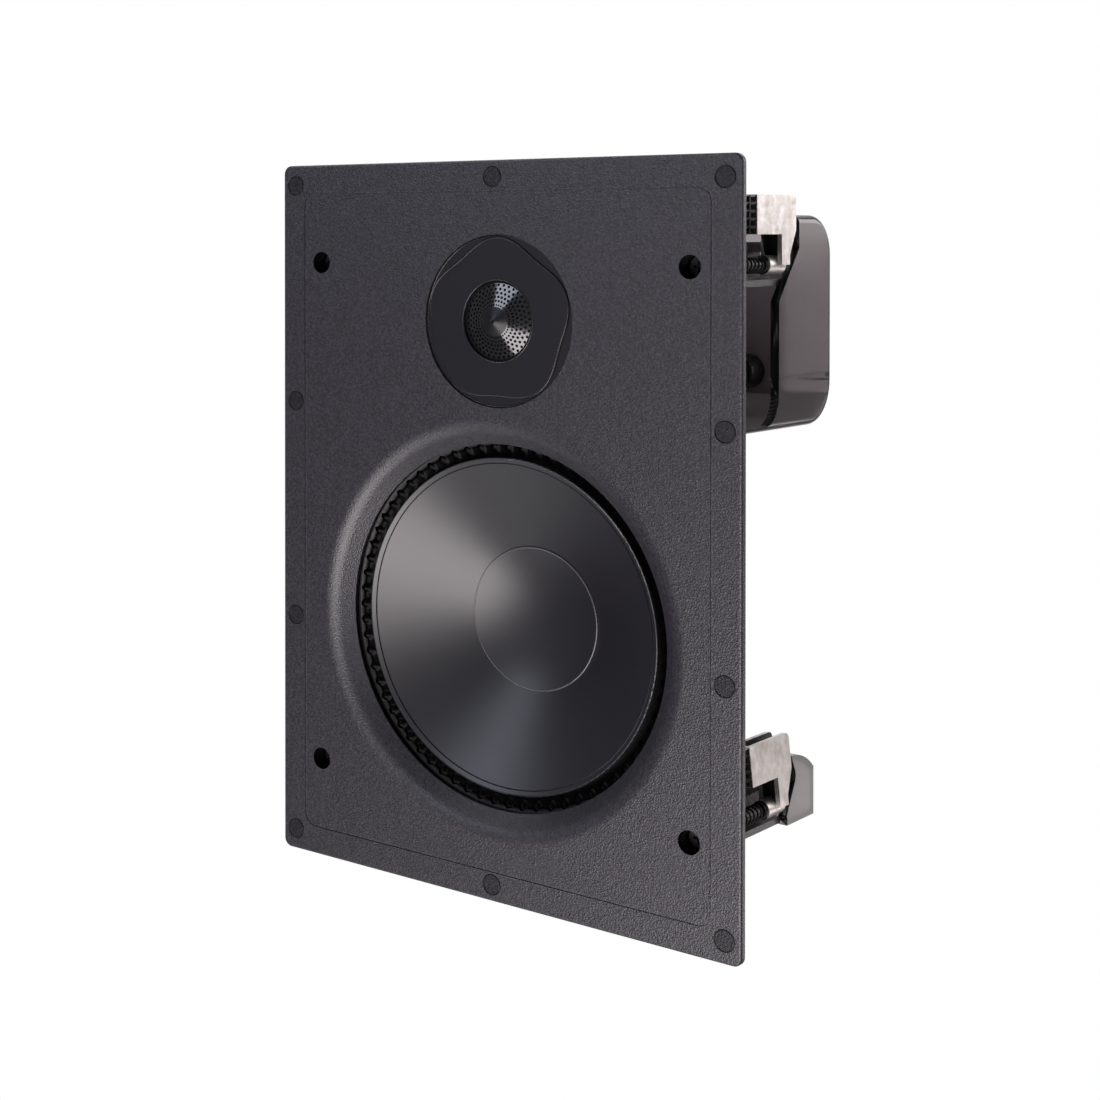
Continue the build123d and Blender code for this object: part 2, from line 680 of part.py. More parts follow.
with BuildPart() as woofer_surround:
    with BuildSketch(radial_plane(WOOFER_Z)):
        with BuildLine():
            Polyline((CONE_R - RIM_W, ROLL_START[1]), *ROLL, (LIP_R - SEAT_GAP, ROLL_END[1]))
        trace(line_width=SURROUND_T)
    revolve(axis=WOOFER_AXIS)
    add([ridge.part.rotate(WOOFER_AXIS, 360 / RIDGE_COUNT * i) for i in range(RIDGE_COUNT)])
finish(woofer_surround, "woofer_surround")

# Spider: a corrugated cloth between the basket's ledge and the former
with BuildPart() as woofer_spider:
    with BuildSketch(radial_plane(WOOFER_Z)):
        waves = [
            (NECK_R + SPIDER_PITCH * (i / 2 + 0.75), SPIDER_DEPTH + SPIDER_WAVE * (-1) ** i)
            for i in range(2 * SPIDER_WAVES)
        ]
        with BuildLine():
            FilletPolyline(
                (NECK_R, SPIDER_DEPTH),
                (NECK_R + SPIDER_PITCH / 2, SPIDER_DEPTH),
                *waves,
                (LEDGE_R - LEDGE_W - SPIDER_T, SPIDER_DEPTH),
                (LEDGE_R - BASKET_T, SPIDER_DEPTH),
                radius=SPIDER_T,
            )
        trace(line_width=SPIDER_T)
    revolve(axis=WOOFER_AXIS)
finish(woofer_spider, "woofer_spider")

with BuildPart() as woofer_former:
    with BuildSketch(face_plane(NECK_TOP_DEPTH, z=WOOFER_Z)):
        Circle(NECK_R)
        Circle(FORMER_R, mode=Mode.SUBTRACT)
    extrude(amount=NECK_TOP_DEPTH - COIL_MID - COIL_TALL / 2)
finish(woofer_former, "woofer_former")

with BuildPart() as woofer_voice_coil:
    with BuildSketch(face_plane(COIL_MID - COIL_TALL / 2, z=WOOFER_Z)):
        Circle(COIL_R_OUT)
        Circle(NECK_R, mode=Mode.SUBTRACT)
    extrude(amount=-COIL_TALL)
finish(woofer_voice_coil, "woofer_voice_coil")

with BuildPart() as woofer_top_plate:
    with BuildSketch(face_plane(TOP_PLATE_DEPTH, z=WOOFER_Z)):
        Circle(TOP_PLATE_R)
        Circle(COIL_R_OUT + AIR_GAP, mode=Mode.SUBTRACT)
    extrude(amount=-TOP_PLATE_T)
finish(woofer_top_plate, "woofer_top_plate")

with BuildPart() as woofer_magnet:
    with BuildSketch(face_plane(RING_DEPTH, z=WOOFER_Z)):
        Circle(MAGNET_RING_R)
        Circle(MAGNET_RING_BORE, mode=Mode.SUBTRACT)
    extrude(amount=-MAGNET_RING_T)
finish(woofer_magnet, "woofer_magnet")

with BuildPart() as woofer_yoke:
    with BuildSketch(face_plane(YOKE_DEPTH, z=WOOFER_Z)):
        Circle(YOKE_R)
    extrude(amount=-YOKE_T)
    with BuildSketch(face_plane(TOP_PLATE_DEPTH, z=WOOFER_Z)):
        Circle(FORMER_R - AIR_GAP)
    extrude(amount=TOP_PLATE_DEPTH - YOKE_DEPTH)
    with BuildSketch(face_plane(TOP_PLATE_DEPTH, z=WOOFER_Z)):
        Circle(POLE_VENT_R)
    extrude(amount=TOP_PLATE_DEPTH - YOKE_DEPTH - YOKE_T, mode=Mode.SUBTRACT)
finish(woofer_yoke, "woofer_yoke")

# Tag strip behind the basket's ledge
with BuildPart() as woofer_terminals:
    tag_z = WOOFER_Z + LEDGE_R - LEDGE_W / 2 + BASKET_T / 3
    with BuildSketch(face_plane(LEDGE_DEPTH + BASKET_T / 2, z=tag_z)):
        Rectangle(TAG_W, TAG_L)
    extrude(amount=-TAG_T)
    with BuildSketch(face_plane(LEDGE_DEPTH + BASKET_T / 2 + TAG_T, z=tag_z)):
        with GridLocations(BLADE_PITCH, 1, 2, 1):
            Rectangle(BLADE_W, BLADE_T)
    extrude(amount=-BLADE_L)
finish(woofer_terminals, "woofer_terminals")

# Tweeter plate: a plateau in five soft lobes on a round plate, with a neck behind for the dome
with BuildPart() as tweeter_faceplate:
    with BuildSketch(face_plane(PLATEAU_DEPTH, TWEETER_X, TWEETER_Z)):
        Circle(PLATE_R)
    extrude(amount=-PLATE_T)
    with BuildSketch(face_plane(PLATE_SEAT - PLATE_T / 2, TWEETER_X, TWEETER_Z)):
        Circle(PLATE_BORE_R + PLATE_NECK_T)
    extrude(amount=PLATE_SEAT - PLATE_T / 2 - NECK_DEPTH)
    with BuildSketch(face_plane(PLATEAU_DEPTH, TWEETER_X, TWEETER_Z)):
        rim = []
        for i in range(8 * LOBES):
            turn = 360 / (8 * LOBES) * i
            reach = LOBE_R + LOBE_WAVE * Vector(1, 0).rotate(Axis.Z, LOBES * turn).X
            rim.append(Vector(0, reach).rotate(Axis.Z, turn))
        with BuildLine():
            Spline(*rim, periodic=True)
        make_face()
    extrude(amount=PLATEAU_T)
    plateau_face = tweeter_faceplate.faces().sort_by(Axis.Y)[0]
    fillet(plateau_face.edges(), PLATEAU_T / 2)
    with BuildSketch(face_plane(0, TWEETER_X, TWEETER_Z)):
        Circle(PLATE_BORE_R)
    extrude(amount=-LENS_BACK, mode=Mode.SUBTRACT)
    with BuildSketch(face_plane(0, TWEETER_X, TWEETER_Z)):
        Circle(LENS_SLOPE_R)
    extrude(amount=-NECK_DEPTH, mode=Mode.SUBTRACT)
    with BuildSketch(face_plane(PLATE_SEAT + SEAT_LEDGE_T - SCREW_BITE, TWEETER_X, TWEETER_Z)):
        with PolarLocations(PLATE_HOLE_R - SEAT_LEDGE_W / 2, TWEETER_SCREWS, start_angle=45):
            Circle(SCREW_R)
    extrude(amount=SEAT_LEDGE_T - SCREW_BITE, mode=Mode.SUBTRACT)
finish(tweeter_faceplate, "tweeter_faceplate")

with BuildPart() as tweeter_screws:
    with BuildSketch(face_plane(PLATE_SEAT + SEAT_LEDGE_T, TWEETER_X, TWEETER_Z)):
        with PolarLocations(PLATE_HOLE_R - SEAT_LEDGE_W / 2, TWEETER_SCREWS, start_angle=45):
            Circle(SCREW_HEAD_R)
    extrude(amount=-SCREW_HEAD_T)
    with BuildSketch(face_plane(PLATE_SEAT + SEAT_LEDGE_T - SCREW_BITE, TWEETER_X, TWEETER_Z)):
        with PolarLocations(PLATE_HOLE_R - SEAT_LEDGE_W / 2, TWEETER_SCREWS, start_angle=45):
            Circle(SCREW_R)
    extrude(amount=-SCREW_BITE)
finish(tweeter_screws, "tweeter_screws")

# Pointed shield, perforated all over its gentler slope; the slope is flat facets, a row of holes to each
with BuildPart() as lens_facet:
    with BuildSketch(radial_plane(TWEETER_Z, TWEETER_X)):
        with BuildLine():
            Polyline(
                (LENS_SLOPE_R, LENS_DEPTH),
                (LENS_SHOULDER_R - LENS_T, LENS_SHOULDER_DEPTH - LENS_SLOPE * LENS_T),
                (LENS_SHOULDER_R - LENS_T, LENS_SHOULDER_DEPTH - LENS_SLOPE * LENS_T + LENS_T),
                (LENS_SLOPE_R, LENS_BACK),
                close=True,
            )
        make_face()
    extrude(amount=LENS_R, both=True)
    with BuildSketch(face_plane(LENS_TIP_DEPTH, TWEETER_X, TWEETER_Z)):
        with BuildLine():
            edge = Vector(2 * LENS_R, 0).rotate(Axis.Z, 180 / LENS_HOLES)
            Polyline((0, 0), (edge.X, -edge.Y), (edge.X, edge.Y), close=True)
        make_face()
    extrude(amount=LENS_TIP_DEPTH - LENS_BACK, mode=Mode.INTERSECT)
    with BuildSketch(face_plane(LENS_TIP_DEPTH, TWEETER_X, TWEETER_Z)):
        for i in range(LENS_RINGS):
            with Locations((LENS_SHOULDER_R + LENS_RING_PITCH * (i + 0.5), 0)):
                Circle(LENS_HOLE_R + LENS_HOLE_GROWTH * i)
    extrude(amount=LENS_TIP_DEPTH - LENS_BACK, mode=Mode.SUBTRACT)

with BuildPart() as tweeter_lens:
    with BuildSketch(radial_plane(TWEETER_Z, TWEETER_X)):
        with BuildLine():
            Polyline(
                (LENS_SHOULDER_R, LENS_SHOULDER_DEPTH),
                (LENS_TIP_FLAT_R, LENS_TIP_DEPTH),
                (0, LENS_TIP_DEPTH),
                (0, LENS_TIP_DEPTH + LENS_T),
                (LENS_TIP_FLAT_R, LENS_TIP_DEPTH + LENS_T),
                (LENS_SHOULDER_R, LENS_SHOULDER_DEPTH + LENS_T),
                close=True,
            )
        make_face()
    revolve(axis=TWEETER_AXIS)
    with BuildSketch(face_plane(LENS_DEPTH, TWEETER_X, TWEETER_Z)):
        Circle(LENS_R)
        RegularPolygon(
            LENS_SLOPE_R,
            LENS_HOLES,
            major_radius=False,
            rotation=180 / LENS_HOLES,
            mode=Mode.SUBTRACT,
        )
    extrude(amount=-LENS_T)
    add([lens_facet.part.rotate(TWEETER_AXIS, 360 / LENS_HOLES * i) for i in range(LENS_HOLES)])
finish(tweeter_lens, "tweeter_lens")

with BuildPart() as tweeter_diaphragm:
    with BuildSketch(radial_plane(TWEETER_Z, TWEETER_X)):
        with BuildLine():
            for face in (DOME_DEPTH - DOME_T / 2, DOME_DEPTH + DOME_T / 2):
                Bezier(
                    (0, face - DOME_RISE),
                    (DOME_R * 0.6, face - DOME_RISE),
                    (DOME_R - DOME_LAND_W, face),
                )
                Line((DOME_R - DOME_LAND_W, face), (DOME_LAND_R, face))
                ThreePointArc(
                    (DOME_LAND_R, face),
                    (DOME_LAND_R + DOME_ROLL_W / 2, face - DOME_ROLL_RISE),
                    (DOME_LAND_R + DOME_ROLL_W, face),
                )
                Line((DOME_LAND_R + DOME_ROLL_W, face), (DOME_FLANGE_R, face))
            for r, depth in ((0, DOME_DEPTH - DOME_RISE), (DOME_FLANGE_R, DOME_DEPTH)):
                Line((r, depth - DOME_T / 2), (r, depth + DOME_T / 2))
        make_face()
    revolve(axis=TWEETER_AXIS)
finish(tweeter_diaphragm, "tweeter_diaphragm")

with BuildPart() as tweeter_voice_coil:
    with BuildSketch(face_plane(TWEETER_PLATE_DEPTH, TWEETER_X, TWEETER_Z)):
        Circle(TWEETER_COIL_R)
        Circle(DOME_R, mode=Mode.SUBTRACT)
    extrude(amount=-TWEETER_COIL_TALL)
finish(tweeter_voice_coil, "tweeter_voice_coil")

with BuildPart() as tweeter_top_plate:
    with BuildSketch(face_plane(TWEETER_PLATE_DEPTH, TWEETER_X, TWEETER_Z)):
        Circle(TWEETER_PLATE_R)
        Circle(TWEETER_BORE_R, mode=Mode.SUBTRACT)
    extrude(amount=-TWEETER_PLATE_T)
finish(tweeter_top_plate, "tweeter_top_plate")

with BuildPart() as tweeter_magnet:
    with BuildSketch(face_plane(TWEETER_MAGNET_DEPTH, TWEETER_X, TWEETER_Z)):
        Circle(TWEETER_MAGNET_R)
        Circle(TWEETER_BORE_R + DOME_ROLL_W, mode=Mode.SUBTRACT)
    extrude(amount=-TWEETER_MAGNET_T)
finish(tweeter_magnet, "tweeter_magnet")

with BuildPart() as tweeter_yoke:
    with BuildSketch(face_plane(TWEETER_YOKE_DEPTH, TWEETER_X, TWEETER_Z)):
        Circle(TWEETER_PLATE_R)
    extrude(amount=-TWEETER_YOKE_T)
    with BuildSketch(face_plane(TWEETER_PLATE_DEPTH + DOME_TRAVEL, TWEETER_X, TWEETER_Z)):
        Circle(TWEETER_POLE_R)
    extrude(amount=TWEETER_PLATE_DEPTH + DOME_TRAVEL - TWEETER_YOKE_DEPTH)
finish(tweeter_yoke, "tweeter_yoke")

with BuildPart() as tweeter_rear_chamber:
    with BuildSketch(face_plane(PLATE_SEAT, TWEETER_X, TWEETER_Z)):
        Circle(CAN_R + CAN_T)
    extrude(amount=PLATE_SEAT - CAN_DEPTH - CAN_FLOOR_T)
    fillet(tweeter_rear_chamber.faces().sort_by(Axis.Y)[-1].edges(), CAN_T)
    with BuildSketch(face_plane(PLATE_SEAT, TWEETER_X, TWEETER_Z)):
        Circle(CAN_R)
    extrude(amount=PLATE_SEAT - CAN_DEPTH, mode=Mode.SUBTRACT)
finish(tweeter_rear_chamber, "tweeter_rear_chamber")

# Cast dog-leg clamp: a boss on the screw, two side plates and a toothed jaw
with BuildPart() as clamp:
    with BuildSketch(side_plane(-JAW_FAR)) as plate_side:
        with BuildLine():
            Polyline(
                (JAW_FRONT, JAW_LOW),
                (JAW_FRONT, JAW_HIGH),
                (JAW_BACK, JAW_HIGH),
                (JAW_BACK, ARM_KNEE),
                (DOG_BACK, DOG_BOSS_R),
                (DOG_BACK, 0),
                (DOG_FRONT + ARM_FRONT_SET, 0),
                (DOG_FRONT + ARM_FRONT_SET, JAW_LOW),
                close=True,
            )
        make_face()
        fillet(plate_side.vertices().sort_by(Axis.X)[-2:], JAW_CORNER_R)
    extrude(amount=JAW_PLATE_T)
    with BuildSketch(side_plane(JAW_NEAR - JAW_PLATE_T)):
        add(plate_side.sketch_local)
    extrude(amount=JAW_PLATE_T)
    with BuildSketch(face_plane(JAW_FRONT)):
        with Locations((JAW_NEAR - JAW_W / 2, (JAW_LOW + JAW_HIGH) / 2)):
            Rectangle(JAW_W, JAW_HIGH - JAW_LOW)
    extrude(amount=-JAW_WALL_T)
    with BuildSketch(face_plane(DOG_BACK - JAW_WALL_T)):
        with Locations((JAW_NEAR - JAW_W / 2, ARM_KNEE / 2)):
            Rectangle(JAW_W, ARM_KNEE)
    extrude(amount=-JAW_WALL_T)
    with BuildSketch(face_plane(DOG_FRONT)):
        Circle(DOG_BOSS_R)
    extrude(amount=-DOG_BOSS_L)
    with BuildSketch(face_plane(DOG_FRONT)):
        Circle(CLAMP_SCREW_R + SLIDE_GAP)
    extrude(amount=-DOG_BOSS_L, mode=Mode.SUBTRACT)
    tooth_w = JAW_W / TOOTH_COLUMNS
    tooth_h = (JAW_HIGH - JAW_LOW) / TOOTH_ROWS
    with BuildSketch(face_plane(JAW_FRONT)):
        with Locations((JAW_NEAR - JAW_W / 2, (JAW_LOW + JAW_HIGH) / 2)):
            with GridLocations(tooth_w, tooth_h, TOOTH_COLUMNS, TOOTH_ROWS):
                Rectangle(tooth_w - TOOTH_GAP, tooth_h - TOOTH_GAP)
    extrude(amount=TOOTH_TALL, taper=TOOTH_TAPER)

with BuildPart() as clamp_screw:
    with BuildSketch(face_plane(CLAMP_SEAT_DEPTH - CLAMP_HEAD_T)):
        Circle(CLAMP_HEAD_R)
    extrude(amount=-CLAMP_HEAD_T)
    with BuildSketch(face_plane(CLAMP_SEAT_DEPTH)):
        Circle(CLAMP_SCREW_R)
    extrude(amount=CLAMP_SEAT_DEPTH - CLAMP_SCREW_END)
    with BuildSketch(face_plane(CLAMP_SEAT_DEPTH - CLAMP_HEAD_T)):
        Rectangle(CROSS_L, CROSS_W)
        Rectangle(CROSS_W, CROSS_L)
    extrude(amount=-CROSS_DEPTH, mode=Mode.SUBTRACT)

with BuildPart() as clamp_spring:
    with BuildLine() as coil:
        Helix(
            pitch=(SPRING_L - 2 * SPRING_WIRE_R) / SPRING_TURNS,
            height=SPRING_L - 2 * SPRING_WIRE_R,
            radius=SPRING_R,
            center=(0, FRONT + CLAMP_SEAT_BACK + SPRING_WIRE_R, 0),
            direction=(0, 1, 0),
        )
    with BuildSketch(Plane(origin=coil.line @ 0, z_dir=coil.line % 0)):
        Circle(SPRING_WIRE_R)
    sweep()

for number, (x, z, turn, lean) in enumerate(CLAMPS, 1):
    place = Location((x, 0, z), (0, turn, 0))
    with BuildPart() as placed_clamp:
        add(clamp.part.moved(Location((x, 0, z), (0, turn - lean, 0))))
    finish(placed_clamp, f"clamp_{number}")
    with BuildPart() as placed_screw:
        add(clamp_screw.part.moved(place))
    finish(placed_screw, f"clamp_screw_{number}")
    with BuildPart() as placed_spring:
        add(clamp_spring.part.moved(place))
    finish(placed_spring, f"clamp_spring_{number}")

# Rear cover: a tub behind the tweeter, a spine behind the woofer's motor and a lobe below it
with BuildPart() as spine:
    with BuildSketch(face_plane(SPINE_FRONT)):
        with Locations((0, (TUB_FLOOR + SPINE_CORNER_R + SPINE_LOW) / 2)):
            RectangleRounded(2 * SPINE_X, TUB_FLOOR + SPINE_CORNER_R - SPINE_LOW, SPINE_CORNER_R)
    extrude(amount=SPINE_FRONT - COVER_DEPTH)
    fillet(spine.faces().sort_by(Axis.Y)[-1].edges(), COVER_EDGE_R)

with BuildPart() as rear_cover:
    with BuildSketch(side_plane(-COVER_X)) as tub_side:
        with Locations((POST_DEPTH, TUB_LOW)):
            Rectangle(COVER_DEPTH - POST_DEPTH, TUB_HIGH - TUB_LOW, align=(Align.MIN, Align.MIN))
        back = tub_side.vertices().group_by(Axis.X)[-1].sort_by(Axis.Y)
        fillet(back[0], TUB_LOW_R)
        back = tub_side.vertices().group_by(Axis.Y)[-1].sort_by(Axis.X)
        fillet(back[-1], TUB_HIGH_R)
    extrude(amount=2 * COVER_X)
    corners = rear_cover.faces().filter_by(Axis.X).edges()
    fillet([e for e in corners if e.center().Y > FRONT + POST_DEPTH + COVER_T], COVER_EDGE_R)
    with BuildSketch(side_plane(-COVER_X)) as lobe_side:
        with BuildLine():
            Polyline(
                (LOBE_ROOF_FRONT, LOBE_HIGH),
                (LOBE_FRONT, LOBE_HIGH),
                (LOBE_FRONT, LOBE_LOW),
                (LOBE_DEPTH, LOBE_LOW),
                (LOBE_DEPTH, LOBE_HIGH - LOBE_SHOULDER),
            )
            TangentArc(
                (LOBE_ROOF_FRONT, LOBE_HIGH),
                (LOBE_DEPTH, LOBE_HIGH - LOBE_SHOULDER),
                tangent=(1, 0),
            )
        make_face()
    extrude(amount=2 * COVER_X)
    add(spine.part)
    # hollow it
    with BuildSketch(side_plane(-COVER_INNER_X)) as tub_hollow:
        with Locations((0, TUB_FLOOR)):
            Rectangle(COVER_INNER_DEPTH, TUB_ROOF - TUB_FLOOR, align=(Align.MIN, Align.MIN))
        back = tub_hollow.vertices().group_by(Axis.X)[-1].sort_by(Axis.Y)
        fillet(back[0], TUB_LOW_R - COVER_T)
        back = tub_hollow.vertices().group_by(Axis.Y)[-1].sort_by(Axis.X)
        fillet(back[-1], TUB_HIGH_R - COVER_T)
    extrude(amount=2 * COVER_INNER_X, mode=Mode.SUBTRACT)
    with BuildSketch(side_plane(-COVER_INNER_X)) as lobe_hollow:
        with BuildLine():
            Polyline(
                (LOBE_ROOF_FRONT, LOBE_HIGH - COVER_T),
                (0, LOBE_HIGH - COVER_T),
                (0, LOBE_FLOOR),
                (LOBE_DEPTH - COVER_T, LOBE_FLOOR),
                (LOBE_DEPTH - COVER_T, LOBE_HIGH - LOBE_SHOULDER - COVER_T),
            )
            TangentArc(
                (LOBE_ROOF_FRONT, LOBE_HIGH - COVER_T),
                (LOBE_DEPTH - COVER_T, LOBE_HIGH - LOBE_SHOULDER - COVER_T),
                tangent=(1, 0),
            )
        make_face()
    extrude(amount=2 * COVER_INNER_X, mode=Mode.SUBTRACT)
    with BuildSketch(face_plane(0)):
        with Locations((0, SPINE_LOW + COVER_T)):
            Rectangle(
                2 * SPINE_INNER_X,
                TUB_FLOOR + TUB_LOW_R - SPINE_LOW - COVER_T,
                align=(Align.CENTER, Align.MIN),
            )
    extrude(amount=-COVER_INNER_DEPTH, mode=Mode.SUBTRACT)
    # a rib round the inside of the tub
    with BuildSketch(Plane(origin=(0, FRONT, TUB_RIB_Z))):
        with Locations((0, COVER_INNER_DEPTH)):
            Rectangle(2 * COVER_INNER_X, COVER_INNER_DEPTH - POST_DEPTH, align=(Align.CENTER, Align.MAX))
        with Locations((0, COVER_INNER_DEPTH - TUB_RIB_TALL)):
            Rectangle(
                2 * (COVER_INNER_X - TUB_RIB_TALL),
                COVER_INNER_DEPTH,
                align=(Align.CENTER, Align.MAX),
                mode=Mode.SUBTRACT,
            )
    extrude(amount=TUB_RIB_T)
    # front edges, cut back wherever a clamp's leg lies or swings
    with BuildSketch(side_plane(COVER_INNER_X - COVER_EDGE_R)) as right_edge:
        with BuildLine():
            FilletPolyline(
                (0, TUB_FLOOR),
                (SIDE_EDGE, TUB_FLOOR),
                (SIDE_EDGE, CLAMP_Z - SIDE_SLANT_LOW),
                radius=SIDE_EDGE_R,
            )
            Polyline(
                (SIDE_EDGE, CLAMP_Z - SIDE_SLANT_LOW),
                (SIDE_EDGE_FAR, CLAMP_Z + SIDE_SLANT_HIGH),
                (SIDE_EDGE_FAR, TUB_HIGH + COVER_T),
                (0, TUB_HIGH + COVER_T),
                (0, TUB_FLOOR),
            )
        make_face()
    extrude(amount=COVER_T + 2 * COVER_EDGE_R, mode=Mode.SUBTRACT)
    with BuildSketch(side_plane(-COVER_INNER_X + COVER_EDGE_R)) as left_edge:
        with BuildLine():
            FilletPolyline(
                (0, TUB_FLOOR),
                (SIDE_EDGE_FAR, TUB_FLOOR),
                (SIDE_EDGE_FAR, TUB_HIGH + COVER_T),
                radius=SIDE_EDGE_R,
            )
            Polyline((SIDE_EDGE_FAR, TUB_HIGH + COVER_T), (0, TUB_HIGH + COVER_T), (0, TUB_FLOOR))
        make_face()
    extrude(amount=-COVER_T - 2 * COVER_EDGE_R, mode=Mode.SUBTRACT)
    with BuildSketch(side_plane(-COVER_X)):
        with Locations((0, TUB_ROOF - COVER_EDGE_R)):
            Rectangle(TUB_ROOF_FRONT, 4 * COVER_EDGE_R, align=(Align.MIN, Align.MIN))
    extrude(amount=2 * COVER_X, mode=Mode.SUBTRACT)
    with BuildSketch(side_plane(COVER_INNER_X - COVER_EDGE_R)):
        with BuildLine():
            FilletPolyline(
                (0, LOBE_FLOOR),
                (LOBE_EDGE_LOW, LOBE_FLOOR),
                (TUB_ROOF_FRONT, LOBE_NOTCH - CLAMP_Z),
                (LOBE_ROOF_FRONT, LOBE_HIGH),
                radius=LOBE_EDGE_R / 2,
            )
            Polyline(
                (LOBE_ROOF_FRONT, LOBE_HIGH),
                (LOBE_ROOF_FRONT, LOBE_HIGH + COVER_T),
                (0, LOBE_HIGH + COVER_T),
                (0, LOBE_FLOOR),
            )
        make_face()
    extrude(amount=COVER_T + 2 * COVER_EDGE_R, mode=Mode.SUBTRACT)
    with BuildSketch(side_plane(-COVER_X)):
        with Locations((0, LOBE_HIGH - 2 * COVER_T)):
            Rectangle(LOBE_ROOF_FRONT, 4 * COVER_T, align=(Align.MIN, Align.MIN))
    extrude(amount=2 * COVER_X, mode=Mode.SUBTRACT)
    with BuildSketch(side_plane(-CLAMP_X + TOWER_BACK + COVER_T)):
        with Locations((0, LOBE_LOW - COVER_T)):
            Rectangle(
                TUB_ROOF_FRONT,
                LOBE_HIGH - LOBE_LOW + 2 * COVER_T,
                align=(Align.MIN, Align.MIN),
            )
    extrude(amount=-COVER_X, mode=Mode.SUBTRACT)
    with BuildSketch(side_plane(CLAMP_X - TOWER_BACK - SEAT_GAP)):
        with Locations((0, -CLAMP_Z - RAIL_TOP + SEAT_GAP)):
            Rectangle(TOWER_DEPTH + SEAT_GAP, LOBE_BELOW, align=(Align.MIN, Align.MAX))
    extrude(amount=COVER_X, mode=Mode.SUBTRACT)
    # ears that screw to the panel's posts, the lower pair on legs
    with BuildSketch(face_plane(POST_DEPTH)):
        with Locations((-POST_X, TUB_LOW), (POST_X, TUB_LOW)):
            Rectangle(EAR_W, POST_UP + EAR_UP, align=(Align.CENTER, Align.MIN))
        with Locations((-FOOT_X, LOBE_FLOOR), (FOOT_X, LOBE_FLOOR)):
            Rectangle(EAR_W, COVER_T + FOOT_DOWN + EAR_UP, align=(Align.CENTER, Align.MAX))
    extrude(amount=-EAR_T)
    with BuildSketch(face_plane(POST_DEPTH)):
        with Locations((-FOOT_X, LOBE_LOW), (FOOT_X, LOBE_LOW)):
            Rectangle(EAR_W, COVER_T, align=(Align.CENTER, Align.MIN))
    extrude(amount=POST_DEPTH - LOBE_FRONT - COVER_T)
    with BuildSketch(face_plane(POST_DEPTH)):
        with Locations(*POSTS):
            Circle(SCREW_R)
    extrude(amount=-EAR_T, mode=Mode.SUBTRACT)
    # standoffs for the crossover and the opening for the terminals
    with BuildSketch(face_plane(BOARD_DEPTH + BOARD_T, z=BOARD_MID_Z)):
        with GridLocations(2 * BOARD_HOLE_X, 2 * BOARD_HOLE_Z, 2, 2):
            Circle(STANDOFF_R)
    extrude(amount=BOARD_DEPTH + BOARD_T - COVER_DEPTH + COVER_T / 2)
    with BuildSketch(face_plane(BOARD_DEPTH + BOARD_T, z=BOARD_MID_Z)):
        with GridLocations(2 * BOARD_HOLE_X, 2 * BOARD_HOLE_Z, 2, 2):
            Circle(SCREW_R)
    extrude(amount=BOARD_T - SCREW_BITE, mode=Mode.SUBTRACT)
    with BuildSketch(face_plane(COVER_INNER_DEPTH, z=BLOCK_Z)):
        Rectangle(BLOCK_W + 2 * SEAT_GAP, BLOCK_H + 2 * SEAT_GAP)
    extrude(amount=-COVER_T, mode=Mode.SUBTRACT)
finish(rear_cover, "rear_cover")

with BuildPart() as cover_screws:
    with BuildSketch(face_plane(EAR_BACK)):
        with Locations(*POSTS):
            Circle(SCREW_HEAD_R)
    extrude(amount=-SCREW_HEAD_T)
    with BuildSketch(face_plane(POST_DEPTH - SCREW_BITE)):
        with Locations(*POSTS):
            Circle(SCREW_R)
    extrude(amount=-(SCREW_BITE + EAR_T))
finish(cover_screws, "cover_screws")

# Crossover
with BuildPart() as crossover_board:
    with BuildSketch(face_plane(BOARD_DEPTH, z=BOARD_MID_Z)):
        Rectangle(BOARD_W, BOARD_H)
        with GridLocations(2 * BOARD_HOLE_X, 2 * BOARD_HOLE_Z, 2, 2):
            Circle(SCREW_R, mode=Mode.SUBTRACT)
    extrude(amount=-BOARD_T)
finish(crossover_board, "crossover_board")

with BuildPart() as board_screws:
    with BuildSketch(face_plane(BOARD_DEPTH - SCREW_HEAD_T, z=BOARD_MID_Z)):
        with GridLocations(2 * BOARD_HOLE_X, 2 * BOARD_HOLE_Z, 2, 2):
            Circle(SCREW_HEAD_R)
    extrude(amount=-SCREW_HEAD_T)
    with BuildSketch(face_plane(BOARD_DEPTH, z=BOARD_MID_Z)):
        with GridLocations(2 * BOARD_HOLE_X, 2 * BOARD_HOLE_Z, 2, 2):
            Circle(SCREW_R)
    extrude(amount=-SCREW_BITE)
finish(board_screws, "board_screws")

with BuildPart() as crossover_inductors:
    with BuildSketch(face_plane(BOARD_DEPTH - COIL_L, z=BOARD_Z0 + COIL_UP)):
        with Locations((COIL_1_X, 0), (COIL_2_X, 0)):
            Circle(COIL_R)
            Circle(COIL_BORE_R, mode=Mode.SUBTRACT)
    extrude(amount=-COIL_L)
finish(crossover_inductors, "crossover_inductors")

with BuildPart() as crossover_capacitors:
    for i in range(CAP_COUNT):
        with BuildSketch(side_plane(CAP_X - CAP_BODY_L / 2 + CAP_PITCH * i)):
            with Locations((BOARD_DEPTH - CAP_BODY_R, BOARD_Z0 + CAP_UP)):
                Circle(CAP_BODY_R)
        extrude(amount=CAP_BODY_L)
finish(crossover_capacitors, "crossover_capacitors")

with BuildPart() as crossover_resistors:
    with BuildSketch(face_plane(BOARD_DEPTH - RESISTOR_W, z=BOARD_Z0 + RESISTOR_UP)):
        for i in range(RESISTOR_COUNT):
            with Locations((RESISTOR_X + RESISTOR_PITCH * i, 0)):
                Rectangle(RESISTOR_L, RESISTOR_W)
    extrude(amount=-RESISTOR_W)
finish(crossover_resistors, "crossover_resistors")

